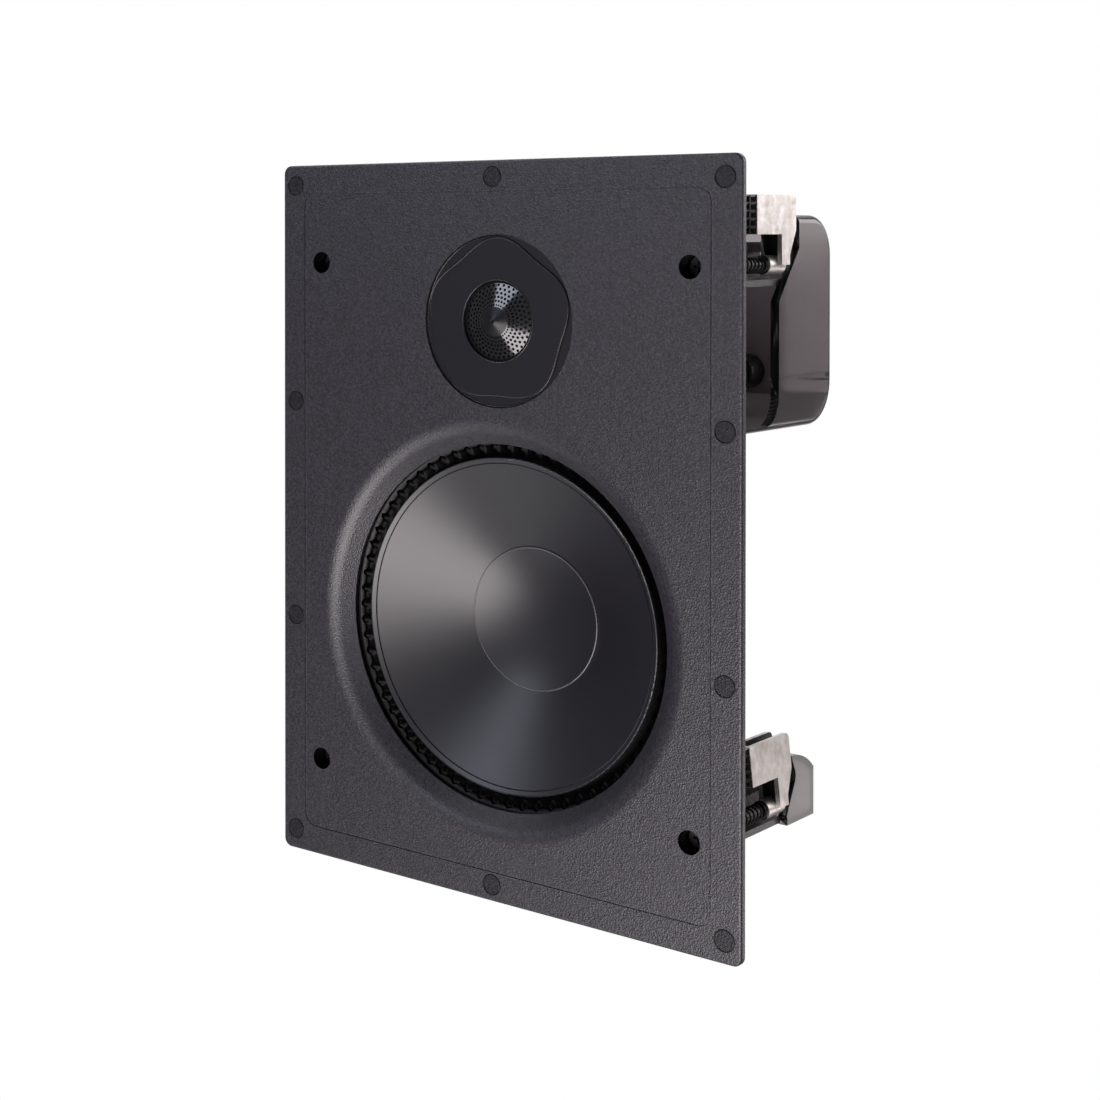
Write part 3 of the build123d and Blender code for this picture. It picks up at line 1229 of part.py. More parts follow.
# Push terminals in the spine's back
with BuildPart() as terminal_block:
    with BuildSketch(face_plane(BLOCK_FRONT, z=BLOCK_Z)):
        Rectangle(BLOCK_W, BLOCK_H)
    extrude(amount=-BLOCK_INNER)
    with BuildSketch(face_plane(COVER_DEPTH, z=BLOCK_Z)):
        Rectangle(BLOCK_W + 2 * BLOCK_FLANGE_W, BLOCK_H + 2 * BLOCK_FLANGE_W)
    extrude(amount=-BLOCK_FLANGE_T)
    with BuildSketch(face_plane(BLOCK_BACK, z=BLOCK_Z + TAB_UP)):
        with GridLocations(TAB_PITCH, 1, 2, 1):
            Rectangle(TAB_W + 2 * SLIDE_GAP, TAB_H + 2 * SLIDE_GAP)
    extrude(amount=TAB_IN + TAB_TRAVEL + SLIDE_GAP, mode=Mode.SUBTRACT)
    with BuildSketch(face_plane(BLOCK_BACK, z=BLOCK_Z - WIRE_HOLE_DOWN)):
        with GridLocations(TAB_PITCH, 1, 2, 1):
            Circle(WIRE_HOLE_R)
    extrude(amount=WIRE_HOLE_L, mode=Mode.SUBTRACT)
finish(terminal_block, "terminal_block")

for side, pole in ((-1, "positive"), (1, "negative")):
    with BuildPart() as terminal_tab:
        with BuildSketch(face_plane(BLOCK_BACK - TAB_IN, side * TAB_PITCH / 2, BLOCK_Z + TAB_UP)):
            Rectangle(TAB_W, TAB_H)
        extrude(amount=-(TAB_IN + TAB_OUT))
    finish(terminal_tab, f"terminal_tab_{pole}")
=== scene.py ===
"""In-wall loudspeaker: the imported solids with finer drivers, springs and finishes, in studio light."""
import json
from math import cos, pi, radians, sin, sqrt

import bpy
from mathutils import Matrix, Vector


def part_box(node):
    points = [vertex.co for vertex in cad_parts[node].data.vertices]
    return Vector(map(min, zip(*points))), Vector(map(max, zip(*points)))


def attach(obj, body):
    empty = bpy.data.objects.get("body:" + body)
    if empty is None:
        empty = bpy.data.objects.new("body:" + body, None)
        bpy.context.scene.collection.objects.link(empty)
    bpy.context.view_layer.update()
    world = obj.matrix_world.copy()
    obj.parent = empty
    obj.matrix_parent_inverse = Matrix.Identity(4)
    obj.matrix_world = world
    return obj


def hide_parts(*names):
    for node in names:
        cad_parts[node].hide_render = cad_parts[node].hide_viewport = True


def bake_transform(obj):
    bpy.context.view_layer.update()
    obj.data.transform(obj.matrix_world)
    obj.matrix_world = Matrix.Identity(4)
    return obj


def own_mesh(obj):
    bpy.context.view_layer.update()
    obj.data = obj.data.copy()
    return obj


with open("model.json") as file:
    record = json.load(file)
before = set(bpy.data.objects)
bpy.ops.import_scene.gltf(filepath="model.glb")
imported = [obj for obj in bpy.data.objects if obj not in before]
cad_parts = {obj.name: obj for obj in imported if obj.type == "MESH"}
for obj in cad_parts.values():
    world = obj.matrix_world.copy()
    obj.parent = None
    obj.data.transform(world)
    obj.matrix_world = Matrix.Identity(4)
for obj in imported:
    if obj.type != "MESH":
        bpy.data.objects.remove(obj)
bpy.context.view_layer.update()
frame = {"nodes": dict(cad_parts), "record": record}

nodes = frame["nodes"]
MM = 0.001

# Places read from the frame
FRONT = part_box("front_baffle")[0][1]
CONE_LOW, CONE_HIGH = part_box("woofer_cone")
WOOFER_Z = (CONE_LOW[2] + CONE_HIGH[2]) / 2
LENS_LOW, LENS_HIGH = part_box("tweeter_lens")
TWEETER_X = (LENS_LOW[0] + LENS_HIGH[0]) / 2
TWEETER_Z = (LENS_LOW[2] + LENS_HIGH[2]) / 2
LENS_R = (LENS_HIGH[0] - LENS_LOW[0]) / 2

# Camera, for a square frame of 1100 pixels
FRAME_PX = 1100
FOCAL_PX = 1997.52
CENTRE_PX = (150.88, 253.5)
AZIMUTH = radians(43.54)
PITCH = radians(0.63)
CAMERA_ROLL = radians(-0.09)
CAMERA_AT = Vector((0.5584, -0.8360, 0.1488))
SENSOR_MM = 36.0


# Materials

def material(name, color, roughness, **sockets):
    """A Principled material; its other sockets are given by name."""
    m = bpy.data.materials.new(name)
    m.use_nodes = True
    shader = m.node_tree.nodes["Principled BSDF"]
    shader.inputs["Base Color"].default_value = (*color, 1)
    shader.inputs["Roughness"].default_value = roughness
    for key, value in sockets.items():
        shader.inputs[key.replace("_", " ")].default_value = value
    return m


def add(m, kind, **settings):
    """A new node in a material or world, with its inputs and settings given by name."""
    node = m.node_tree.nodes.new(kind)
    for key, value in settings.items():
        if key in node.inputs:
            node.inputs[key].default_value = value
        else:
            setattr(node, key, value)
    return node


def noise(m, scale, detail=4.0, rough=0.6):
    """Noise over the object's own coordinates, with a scale in cycles a metre."""
    place = add(m, "ShaderNodeTexCoord")
    texture = add(m, "ShaderNodeTexNoise", Scale=scale, Detail=detail, Roughness=rough)
    m.node_tree.links.new(place.outputs["Object"], texture.inputs["Vector"])
    return texture.outputs["Fac"]


def grain(m, scale, depth, detail=4.0):
    """A fine raised texture."""
    bump = add(m, "ShaderNodeBump", Strength=1.0, Distance=depth)
    m.node_tree.links.new(noise(m, scale, detail), bump.inputs["Height"])
    shader = m.node_tree.nodes["Principled BSDF"]
    m.node_tree.links.new(bump.outputs["Normal"], shader.inputs["Normal"])
    return m


def mottle(m, scale, low, high, socket="Base Color", detail=4.0, spread=0.2):
    """Varies a socket between two values with noise. A smaller spread gives more contrast."""
    ramp = add(m, "ShaderNodeValToRGB")
    for element, value in zip(ramp.color_ramp.elements, (low, high)):
        element.color = (*value, 1) if isinstance(value, tuple) else (value, value, value, 1)
    ramp.color_ramp.elements[0].position = 0.5 - spread
    ramp.color_ramp.elements[1].position = 0.5 + spread
    m.node_tree.links.new(noise(m, scale, detail), ramp.inputs["Fac"])
    shader = m.node_tree.nodes["Principled BSDF"]
    m.node_tree.links.new(ramp.outputs["Color"], shader.inputs[socket])
    return m


def speckle(m, scale, low, high, depth):
    """Small cells, each of its own tone between two colours, with a pebbled surface."""
    tree = m.node_tree
    place = add(m, "ShaderNodeTexCoord")
    cells = add(m, "ShaderNodeTexVoronoi", Scale=scale)
    ramp = add(m, "ShaderNodeValToRGB")
    for element, value in zip(ramp.color_ramp.elements, (low, high)):
        element.color = (*value, 1)
    ramp.color_ramp.elements[0].position = 0.15
    ramp.color_ramp.elements[1].position = 0.85
    bump = add(m, "ShaderNodeBump", Strength=1.0, Distance=depth)
    shader = tree.nodes["Principled BSDF"]
    tree.links.new(place.outputs["Object"], cells.inputs["Vector"])
    tree.links.new(cells.outputs["Color"], ramp.inputs["Fac"])
    tree.links.new(ramp.outputs["Color"], shader.inputs["Base Color"])
    tree.links.new(cells.outputs["Distance"], bump.inputs["Height"])
    tree.links.new(bump.outputs["Normal"], shader.inputs["Normal"])
    return m


def tinted(color, factor):
    """A colour made lighter or darker."""
    return tuple(c * factor for c in color)


PANEL = (0.0290, 0.0267, 0.0362)
PLATE = (0.012, 0.0112, 0.017)
CONE = (0.0125, 0.0118, 0.0170)
MAGNET = (0.020, 0.0185, 0.024)
SMOKE = (0.33, 0.30, 0.31)
SPECKS_A_METRE = 1150
SPECK_TONES = (0.45, 1.55)
SPECK_DEPTH = 0.13 * MM


def panel_plastic(name="panel_plastic", color=PANEL, specular=1.0):
    m = material(name, color, 0.40, Specular_IOR_Level=specular)
    low, high = (tinted(color, tone) for tone in SPECK_TONES)
    return speckle(m, SPECKS_A_METRE, low, high, SPECK_DEPTH)


def satin(name, color, roughness, scale=900, depth=0.00001, **sockets):
    m = material(name, color, roughness, **sockets)
    mottle(m, 60, tinted(color, 0.94), tinted(color, 1.06))
    return grain(m, scale, depth)


def metal(name, color, roughness, scale=500, depth=0.00003):
    m = material(name, color, roughness, Metallic=1.0)
    mottle(m, 90, roughness * 0.85, min(roughness * 1.2, 1.0), "Roughness")
    return grain(m, scale, depth)


def smoked():
    m = material("smoked_plastic", SMOKE, 0.16, Transmission_Weight=1.0, IOR=1.45)
    mottle(m, 40, 0.13, 0.2, "Roughness")
    return m


def gloss_black():
    m = material("lens_metal", (0.014, 0.014, 0.017), 0.12, Specular_IOR_Level=1.0, Coat_Weight=0.6)
    mottle(m, 200, 0.10, 0.15, "Roughness")
    return m


def cast_metal():
    m = material("clamp_casting", (0.8, 0.77, 0.76), 0.4, Metallic=1.0)
    mottle(m, 140, (0.58, 0.53, 0.50), (0.88, 0.85, 0.85))
    mottle(m, 420, 0.32, 0.52, "Roughness")
    return grain(m, 900, 0.00008)


MATERIALS = {
    "panel_plastic": panel_plastic(),
    "magnet_nickel": panel_plastic("magnet_nickel", MAGNET, 0.5),
    "plate_plastic": satin("plate_plastic", PLATE, 0.42),
    "lens_metal": gloss_black(),
    "cone_polymer": satin("cone_polymer", CONE, 0.37, Specular_IOR_Level=1.0),
    "rubber": satin("rubber", (0.0009, 0.0009, 0.0012), 0.3, Specular_IOR_Level=0.08),
    "clamp_casting": cast_metal(),
    "spring_steel": satin("spring_steel", (0.004, 0.004, 0.0045), 0.35, Specular_IOR_Level=0.4),
    "screw_steel": metal("screw_steel", (0.45, 0.45, 0.47), 0.35),
    "screw_black": satin("screw_black", (0.008, 0.008, 0.009), 0.4),
    "smoked_plastic": smoked(),
    "basket_steel": satin("basket_steel", (0.02, 0.02, 0.021), 0.5),
    "cloth": satin("cloth", (0.42, 0.28, 0.11), 0.85, 1500, 0.0001),
    "former_paper": satin("former_paper", (0.35, 0.25, 0.15), 0.8),
    "copper": metal("copper", (0.6, 0.27, 0.12), 0.35),
    "plated_iron": metal("plated_iron", (0.55, 0.54, 0.47), 0.4),
    "ferrite": satin("ferrite", (0.045, 0.045, 0.048), 0.7, 700, 0.0001),
    "fibre": satin("fibre", (0.2, 0.12, 0.06), 0.75),
    "silk": satin("silk", (0.03, 0.03, 0.033), 0.6, 2500, 0.00005),
    "can_plastic": satin("can_plastic", (0.02, 0.02, 0.021), 0.5),
    # The board's light colour is painted light, standing in for the light that hardly reaches inside the
    # cover
    "board_laminate": satin("board_laminate", (0.24, 0.21, 0.225), 0.5),
    "coil_wrap": satin("coil_wrap", (0.010, 0.010, 0.011), 0.45),
    "capacitor_film": satin("capacitor_film", (0.4, 0.24, 0.04), 0.35),
    "resistor_ceramic": satin("resistor_ceramic", (0.6, 0.59, 0.55), 0.8),
    "terminal_plastic": satin("terminal_plastic", (0.018, 0.018, 0.019), 0.45),
    "tab_red": satin("tab_red", (0.45, 0.012, 0.012), 0.35),
    "tab_black": satin("tab_black", (0.015, 0.015, 0.015), 0.35),
}


# Meshes

def piece(name, points, faces, slot, body="housing", smooth=40):
    """A new mesh piece with a slot's finish, which rides on a body where one is given.

    Edges sharper than smooth, in degrees, stay crisp.
    """
    mesh = bpy.data.meshes.new(name)
    mesh.from_pydata(points, [], faces)
    mesh.update()
    mesh.shade_smooth()
    mesh.set_sharp_from_angle(angle=radians(smooth))
    mesh.materials.append(MATERIALS[slot])
    obj = bpy.data.objects.new(name, mesh)
    bpy.context.scene.collection.objects.link(obj)
    if body:
        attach(obj, body)
    return obj


def tube_faces(columns, count, closed=True):
    """Faces between neighbouring columns of points, where each column is a loop of count points."""
    faces = []
    for s in range(columns if closed else columns - 1):
        here, there = s * count, (s + 1) % columns * count
        for i in range(count):
            j = (i + 1) % count
            faces.append((here + i, here + j, there + j, there + i))
    return faces


def thicken(obj, thickness):
    sheet = obj.modifiers.new("thickness", "SOLIDIFY")
    sheet.thickness = thickness
    sheet.offset = -1


def ring(name, radius, depth, wire_r, centre, slot, body, segments=192, count=12):
    """A thin ring about an axis, at a depth from the panel's front. The radius may depend on the angle."""
    points = []
    for s in range(segments):
        angle = 2 * pi * s / segments
        for i in range(count):
            swing = 2 * pi * i / count
            r = (radius(angle) if callable(radius) else radius) + wire_r * cos(swing)
            y = FRONT + depth + wire_r * sin(swing)
            points.append((centre[0] + r * cos(angle), y, centre[1] + r * sin(angle)))
    return piece(name, points, tube_faces(segments, count), slot, body, smooth=80)


CREASE = radians(35)

for name, obj in nodes.items():
    part = next(p for p in frame["record"]["subparts"] if p["node"] == name)
    obj.data.materials.clear()
    obj.data.materials.append(MATERIALS[part["material_slot"]])
    obj.data.shade_smooth()
    obj.data.set_sharp_from_angle(angle=CREASE)


# Painted shade: the cover's cut edges are painted black, and a thin black lip widens the black band

COVER_WALL = 2.5 * MM
SHADE_LIP = 1.8 * MM
SHADE_LIP_SHEET = 0.3 * MM
SHADE_LIP_PROUD = 0.05 * MM
COVER_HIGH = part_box("rear_cover")[1]
TUB_FLOOR = (20 * MM, 90 * MM)
POD_TOP = -100 * MM
# Black for painted shade, on the cover's cut edges, the gaps round the magnets and the clamp holes
painted_shade_black = satin("painted_shade_black", (0.004, 0.004, 0.004), 0.35, Specular_IOR_Level=0.3)
# A darker, nearly opaque copy of the smoked plastic: painted shade on the tub's floor, and also the ribs'
# colour
shade_lining = satin("cover_shade_lining", (0.20, 0.18, 0.19), 0.5, Transmission_Weight=0.1)
matt_cover = material(
    "smoked_low", SMOKE, 0.3, Transmission_Weight=1.0, IOR=1.45, Specular_IOR_Level=0.15
)


def cover_painted_shade():
    """Paints shade: blackens the cut edges, widens them with a thin black lip, and darkens the tub's floor
    with the shade lining; also dulls the pods.
    """
    cover = nodes["rear_cover"].data
    for finish in (painted_shade_black, shade_lining, matt_cover):
        cover.materials.append(finish)
    points, faces = [], []
    for face in cover.polygons:
        in_wall = COVER_HIGH[0] - abs(face.center.x) < COVER_WALL
        if in_wall and abs(face.normal.x) < 0.3 and face.normal.y < -0.25:
            face.material_index = 1
            corners = []
            for v in face.vertices:
                point = cover.vertices[v].co + face.normal * SHADE_LIP_PROUD
                if COVER_HIGH[0] - abs(point.x) > COVER_WALL / 2:
                    point.x -= SHADE_LIP if point.x > 0 else -SHADE_LIP
                corners.append(len(points))
                points.append(point)
            faces.append(corners)
            continue
        in_floor = TUB_FLOOR[0] < face.center.z < TUB_FLOOR[1]
        # The tub's floor gets the darker lining as painted shade, where no light comes from below
        if in_floor and face.normal.z > 0.3 and face.normal.y < 0.2:
            face.material_index = 2
        elif max(cover.vertices[v].co.z for v in face.vertices) < POD_TOP:
            face.material_index = 3
    # The lip is a thin black sheet of painted shade over the cut edge
    obj = piece("cover_painted_shade", points, faces, "smoked_plastic")
    obj.data.materials[0] = painted_shade_black
    thicken(obj, SHADE_LIP_SHEET)


# Painted shade: the clamps' teeth and the inside of each casting are painted black

TOOTH_TALL = 1.5 * MM
BOSS_R = 4.6 * MM
BOSS_SLACK = 0.2 * MM
TOOTH_SLACK = 0.1 * MM
PLATE_STEP = 0.5 * MM
JAW_WALL_BACK = 5 * MM
JAW_WALL_HALF = 3 * MM
# Black for painted shade on the castings
painted_shade_casting = satin("painted_shade_casting", (0.006, 0.006, 0.006), 0.45)


def clamp_shade(number):
    """Paints shade black on the teeth, the plates' inner sides and the wall between the plates."""
    mesh = nodes[f"clamp_{number}"].data
    mesh.materials.append(painted_shade_casting)
    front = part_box(f"clamp_{number}")[0][1] + TOOTH_TALL
    low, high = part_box(f"clamp_screw_{number}")
    x, z = (low[0] + high[0]) / 2, (low[2] + high[2]) / 2
    reach = {True: -1.0, False: -1.0}
    for face in mesh.polygons:
        if abs(face.normal.x) > 0.9:
            side = face.normal.x > 0
            out = Vector((face.center.x - x, 0, face.center.z - z))
            reach[side] = max(reach[side], out.dot(face.normal))
    for face in mesh.polygons:
        n, c = face.normal, face.center
        out = Vector((c.x - x, 0, c.z - z))
        tooth = c.y < front - TOOTH_SLACK and n.z < 0.4
        on_boss = abs(out.length - BOSS_R) < BOSS_SLACK
        plate = abs(n.x) > 0.9 and out.dot(n) < reach[n.x > 0] - PLATE_STEP and not on_boss
        wall = n.y < -0.9 and c.y > front + JAW_WALL_BACK and abs(out.x) < JAW_WALL_HALF
        if tooth or plate or wall:
            face.material_index = 1


# Tweeter lens: a slope with staggered rings of holes, a plain pointed middle and a flat rim painted black
# as shade

LENS_EDGE_R = 18.8 * MM
LENS_SHOULDER_R = 7.0 * MM
LENS_SLOPE_RISE = 3.8 * MM
LENS_TIP_RISE = 3.0 * MM
LENS_RIM_DEPTH = LENS_LOW[1] - FRONT + LENS_SLOPE_RISE + LENS_TIP_RISE
LENS_SHEET = 0.6 * MM
LENS_TIP_R = 0.5 * MM
LENS_POINT_R = 0.25 * MM
LENS_STEP = 0.15 * MM
POINT_RINGS = 12
HOLE_RINGS = 6
HOLES = 38
HOLE_SHARE = 0.72
SIDE_STEPS = 4
CELL_STEPS = 4 * SIDE_STEPS


def lens_depth(r):
    """Depth of the lens's face from the panel's front."""
    if r > LENS_EDGE_R:
        return LENS_RIM_DEPTH
    shoulder = LENS_RIM_DEPTH - LENS_SLOPE_RISE
    if r > LENS_SHOULDER_R:
        return shoulder + LENS_SLOPE_RISE * (r - LENS_SHOULDER_R) / (LENS_EDGE_R - LENS_SHOULDER_R)
    rounded = sqrt(r * r + LENS_TIP_R ** 2)
    return shoulder - LENS_TIP_RISE * (1 - rounded / LENS_SHOULDER_R)


def square_edge(i):
    """The i-th of the points round a square cell's edge, each coordinate from -1 to 1."""
    side, step = divmod(i, SIDE_STEPS)
    along = 2 * step / SIDE_STEPS - 1
    return ((along, -1), (1, along), (-along, 1), (-1, -along))[side]


def lens():
    """The lens as one sheet of square cells, each with a hole, between the plain point and the rim."""
    points, faces, known = [], [], {}

    def at(r, turn):
        key = (round(r * 1e7), round(turn * 1e5) % round(2 * pi * 1e5))
        if key not in known:
            known[key] = len(points)
            points.append((TWEETER_X + r * cos(turn), FRONT + lens_depth(r), TWEETER_Z + r * sin(turn)))
        return known[key]

    pitch = (LENS_EDGE_R - LENS_SHOULDER_R) / HOLE_RINGS
    cell = 2 * pi / HOLES
    for row in range(HOLE_RINGS):
        middle = LENS_SHOULDER_R + pitch * (row + 0.5)
        hole = HOLE_SHARE * min(pitch, middle * cell) / 2
        for k in range(HOLES):
            turn = cell * (k + row % 2 / 2)
            outer, inner = [], []
            for i in range(CELL_STEPS):
                u, v = square_edge(i)
                outer.append(at(middle + v * pitch / 2, turn + u * cell / 2))
                size = hole / sqrt(u * u + v * v)
                inner.append(at(middle + v * size, turn + u * size / middle))
            for i in range(CELL_STEPS):
                j = (i + 1) % CELL_STEPS
                faces.append((outer[i], outer[j], inner[j], inner[i]))
    steps = HOLES * SIDE_STEPS
    rim = [LENS_R, LENS_EDGE_R + LENS_STEP, LENS_EDGE_R]
    plain = [LENS_SHOULDER_R * (1 - i / POINT_RINGS) for i in range(POINT_RINGS)] + [LENS_POINT_R]
    for band in (rim, plain):
        for a, b in zip(band, band[1:]):
            for i in range(steps):
                t, u = 2 * pi * i / steps, 2 * pi * (i + 1) / steps
                faces.append((at(a, t), at(b, t), at(b, u), at(a, u)))
    faces.append([at(plain[-1], 2 * pi * i / steps) for i in range(steps)])
    obj = piece("perforated_lens", points, faces, "lens_metal", smooth=50)
    sides = {}
    for face in obj.data.polygons:
        for key in face.edge_keys:
            sides[key] = sides.get(key, 0) + 1
    for edge in obj.data.edges:
        if sides[edge.key] == 1:
            edge.use_edge_sharp = True
    obj.data.materials.append(satin("lens_point", (0.010, 0.010, 0.013), 0.33))
    # The flat rim is near black: painted shade from the bore round the lens
    obj.data.materials.append(satin("lens_rim_painted_shade", (0.002, 0.002, 0.003), 0.4, Specular_IOR_Level=0.3))
    for face in obj.data.polygons:
        r = Vector((face.center.x - TWEETER_X, face.center.z - TWEETER_Z)).length
        face.material_index = 1 if r < LENS_SHOULDER_R else 2 if r > LENS_EDGE_R else 0
    thicken(obj, LENS_SHEET)
    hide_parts("tweeter_lens")


# Woofer surround: a soft roll crossed by ridges, with its radii and depths in millimetres

ROLL_PROFILE = (
    (81.7, 16.0),
    (86.3, 16.0),
    (88.0, 15.6),
    (89.4, 15.1),
    (90.7, 14.9),
    (91.8, 14.7),
    (92.9, 13.8),
    (93.5, 12.8),
    (95.3, 12.5),
)
RIDGES = 68
RIDGE_TALL = 1.4 * MM
RIDGE_STEPS = 10
SURROUND_SHEET = 0.8 * MM
SURROUND_SECTORS = 17


def membrane(name, node, slot, rows, sheet, steps, sectors, first=0, rise=None):
    """A round sheet in closed sectors that joins the cone to the housing.
    """
    count, each = len(rows), steps // sectors
    for n in range(sectors):
        points = []
        for s in range(first + n * each, first + (n + 1) * each + 1):
            turn = 2 * pi * s / steps
            face = [(r * MM, FRONT + d * MM - (rise(r, s) if rise else 0)) for r, d in rows]
            loop = face + [(r, y + sheet) for r, y in reversed(face)]
            points += [(r * cos(turn), y, WOOFER_Z + r * sin(turn)) for r, y in loop]
        around = 2 * count
        faces = tube_faces(each + 1, around, closed=False)
        end = each * around
        for i in range(count - 1):
            back = around - 1 - i
            faces.append((back, back - 1, i + 1, i))
            faces.append((end + i, end + i + 1, end + back - 1, end + back))
        obj = piece(f"{name}_{n + 1}", points, faces, slot, None, 60)
        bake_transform(obj)
        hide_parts(node)


def surround():
    rows = []
    for (r0, d0), (r1, d1) in zip(ROLL_PROFILE, ROLL_PROFILE[1:]):
        rows += [(r0 + (r1 - r0) * i / 3, d0 + (d1 - d0) * i / 3) for i in range(3)]
    rows.append(ROLL_PROFILE[-1])
    low, high = ROLL_PROFILE[1][0], ROLL_PROFILE[7][0]

    def rise(r, step):
        wave = max(0.0, cos(2 * pi * step / RIDGE_STEPS)) ** 0.7
        across = max(0.0, min(1.0, (r - low) / (high - low)))
        return RIDGE_TALL * wave * sin(pi * across)

    membrane(
        "ridged_surround", "woofer_surround", "rubber", rows, SURROUND_SHEET, RIDGES * RIDGE_STEPS,
        SURROUND_SECTORS, first=RIDGE_STEPS // 2, rise=rise,
    )


# Spider: the corrugated cloth that centres the cone's neck, also in millimetres

SPIDER_DEPTH = 56.65
SPIDER_SHEET = 0.6 * MM
SPIDER_NECK_R = 19.4
SPIDER_PITCH = 5.52
SPIDER_WAVE = 1.6
SPIDER_WAVES = 4
SPIDER_R = 56.5
SPIDER_STEPS = 180
SPIDER_SECTORS = 18


def spider(fine=12):
    start = SPIDER_NECK_R + SPIDER_PITCH / 2
    rows = [(SPIDER_NECK_R, SPIDER_DEPTH)]
    for i in range(SPIDER_WAVES * fine + 1):
        wave = SPIDER_WAVE * sin(2 * pi * i / fine)
        rows.append((start + SPIDER_PITCH * i / fine, SPIDER_DEPTH + wave))
    rows.append((SPIDER_R, SPIDER_DEPTH))
    membrane(
        "spider_cloth", "woofer_spider", "cloth", rows, SPIDER_SHEET, SPIDER_STEPS, SPIDER_SECTORS
    )


# The panel's skin round the woofer, which rolls softly from the flat face into the dish

SKIN_R = 107.0 * MM
ROLL_OFF_R = 105.0 * MM
ROLL_OFF = 12.0 * MM
ROLL_OFF_TILT = radians(44.9)
DISH_END = (91.62 * MM, 8.45 * MM)
SKIN_PROUD = 0.02 * MM
SKIN_DEEP = 0.06 * MM


def flare_skin(segments=256, steps=14):
    """A thin skin over the edge of the dish, as one closed ring."""
    front = [(SKIN_R, -SKIN_PROUD)]
    for i in range(steps + 1):
        tilt = ROLL_OFF_TILT * i / steps
        front.append((ROLL_OFF_R - ROLL_OFF * sin(tilt), ROLL_OFF * (1 - cos(tilt)) - SKIN_PROUD))
    front.append(DISH_END)
    loop = front[::-1] + [(r, d + SKIN_DEEP) for r, d in front]
    points = []
    for s in range(segments):
        turn = 2 * pi * s / segments
        points += [(r * cos(turn), FRONT + d, WOOFER_Z + r * sin(turn)) for r, d in loop]
    piece("flare_skin", points, tube_faces(segments, len(loop)), "panel_plastic")


# Clamp springs: a coil with a closed turn at each end

SPRING_WIRE_R = 0.5 * MM
SPRING_R = 3.6 * MM
SPRING_TURNS = 14
CLOSED_TURNS = 1.2
TURN_STEPS = 28
WIRE_STEPS = 10


def spring(number):
    """A coil in the place of the clamp's spring, with closed turns at each end."""
    low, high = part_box(f"clamp_spring_{number}")
    x, z = (low[0] + high[0]) / 2, (low[2] + high[2]) / 2
    start, end = low[1] + SPRING_WIRE_R, high[1] - SPRING_WIRE_R
    closed = CLOSED_TURNS * 2 * SPRING_WIRE_R
    steps = round((SPRING_TURNS + 2 * CLOSED_TURNS) * TURN_STEPS)
    points = []
    for s in range(steps + 1):
        turns = s / TURN_STEPS
        if turns < CLOSED_TURNS:
            along = start + turns * 2 * SPRING_WIRE_R
        elif turns > CLOSED_TURNS + SPRING_TURNS:
            along = end - (SPRING_TURNS + 2 * CLOSED_TURNS - turns) * 2 * SPRING_WIRE_R
        else:
            share = (turns - CLOSED_TURNS) / SPRING_TURNS
            along = start + closed + share * (end - start - 2 * closed)
        angle = 2 * pi * turns
        for w in range(WIRE_STEPS):
            swing = 2 * pi * w / WIRE_STEPS
            r = SPRING_R + SPRING_WIRE_R * cos(swing)
            points.append((x + r * cos(angle), along + SPRING_WIRE_R * sin(swing), z + r * sin(angle)))
    faces = tube_faces(steps + 1, WIRE_STEPS, closed=False)
    faces.append(list(reversed(range(WIRE_STEPS))))
    faces.append([steps * WIRE_STEPS + w for w in range(WIRE_STEPS)])
    obj = piece(f"coil_spring_{number}", points, faces, "spring_steel", smooth=70)
    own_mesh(obj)
    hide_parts(f"clamp_spring_{number}")


# Fine edges: the dust cap's seam, the tweeter plate's rims, the gap round each magnet and the inset line

CAP_SEAM_R = 36.3 * MM
CAP_BEAD_R = 0.4 * MM
CAP_SEAM_WIRE = 0.45 * MM
PLATE_R = 42.4 * MM
PLATE_BASE = 1.6 * MM
PLATE_FACE = 0.6 * MM
LOBE_R = 39.2 * MM
LOBE_WAVE = 2.1 * MM
LOBES = 5
BORE_R = 20.4 * MM
EDGE_WIRE = 0.3 * MM
MAGNET_SPAN = 13.5 * MM
GAP_OFFSET = 0.1 * MM
GAP_WIRE = 0.3 * MM
LINE_DEPTH = 0.6 * MM
LINE_SLACK = 0.05 * MM
CLAMP_HOLE_R = 6.5 * MM
CLAMP_HOLE_TOP = 0.2 * MM
RIB_WIDE = 15 * MM
RIB_TALL = 1.2 * MM
RIB_DEEP = 6 * MM
RIB_Z = 73 * MM
BOX_FACES = ((0, 1, 3, 2), (4, 6, 7, 5), (0, 4, 5, 1), (2, 3, 7, 6), (0, 2, 6, 4), (1, 5, 7, 3))


def lobed(angle):
    """Radius of the tweeter plate's plateau."""
    return LOBE_R + LOBE_WAVE * cos(LOBES * (angle - pi / 2))


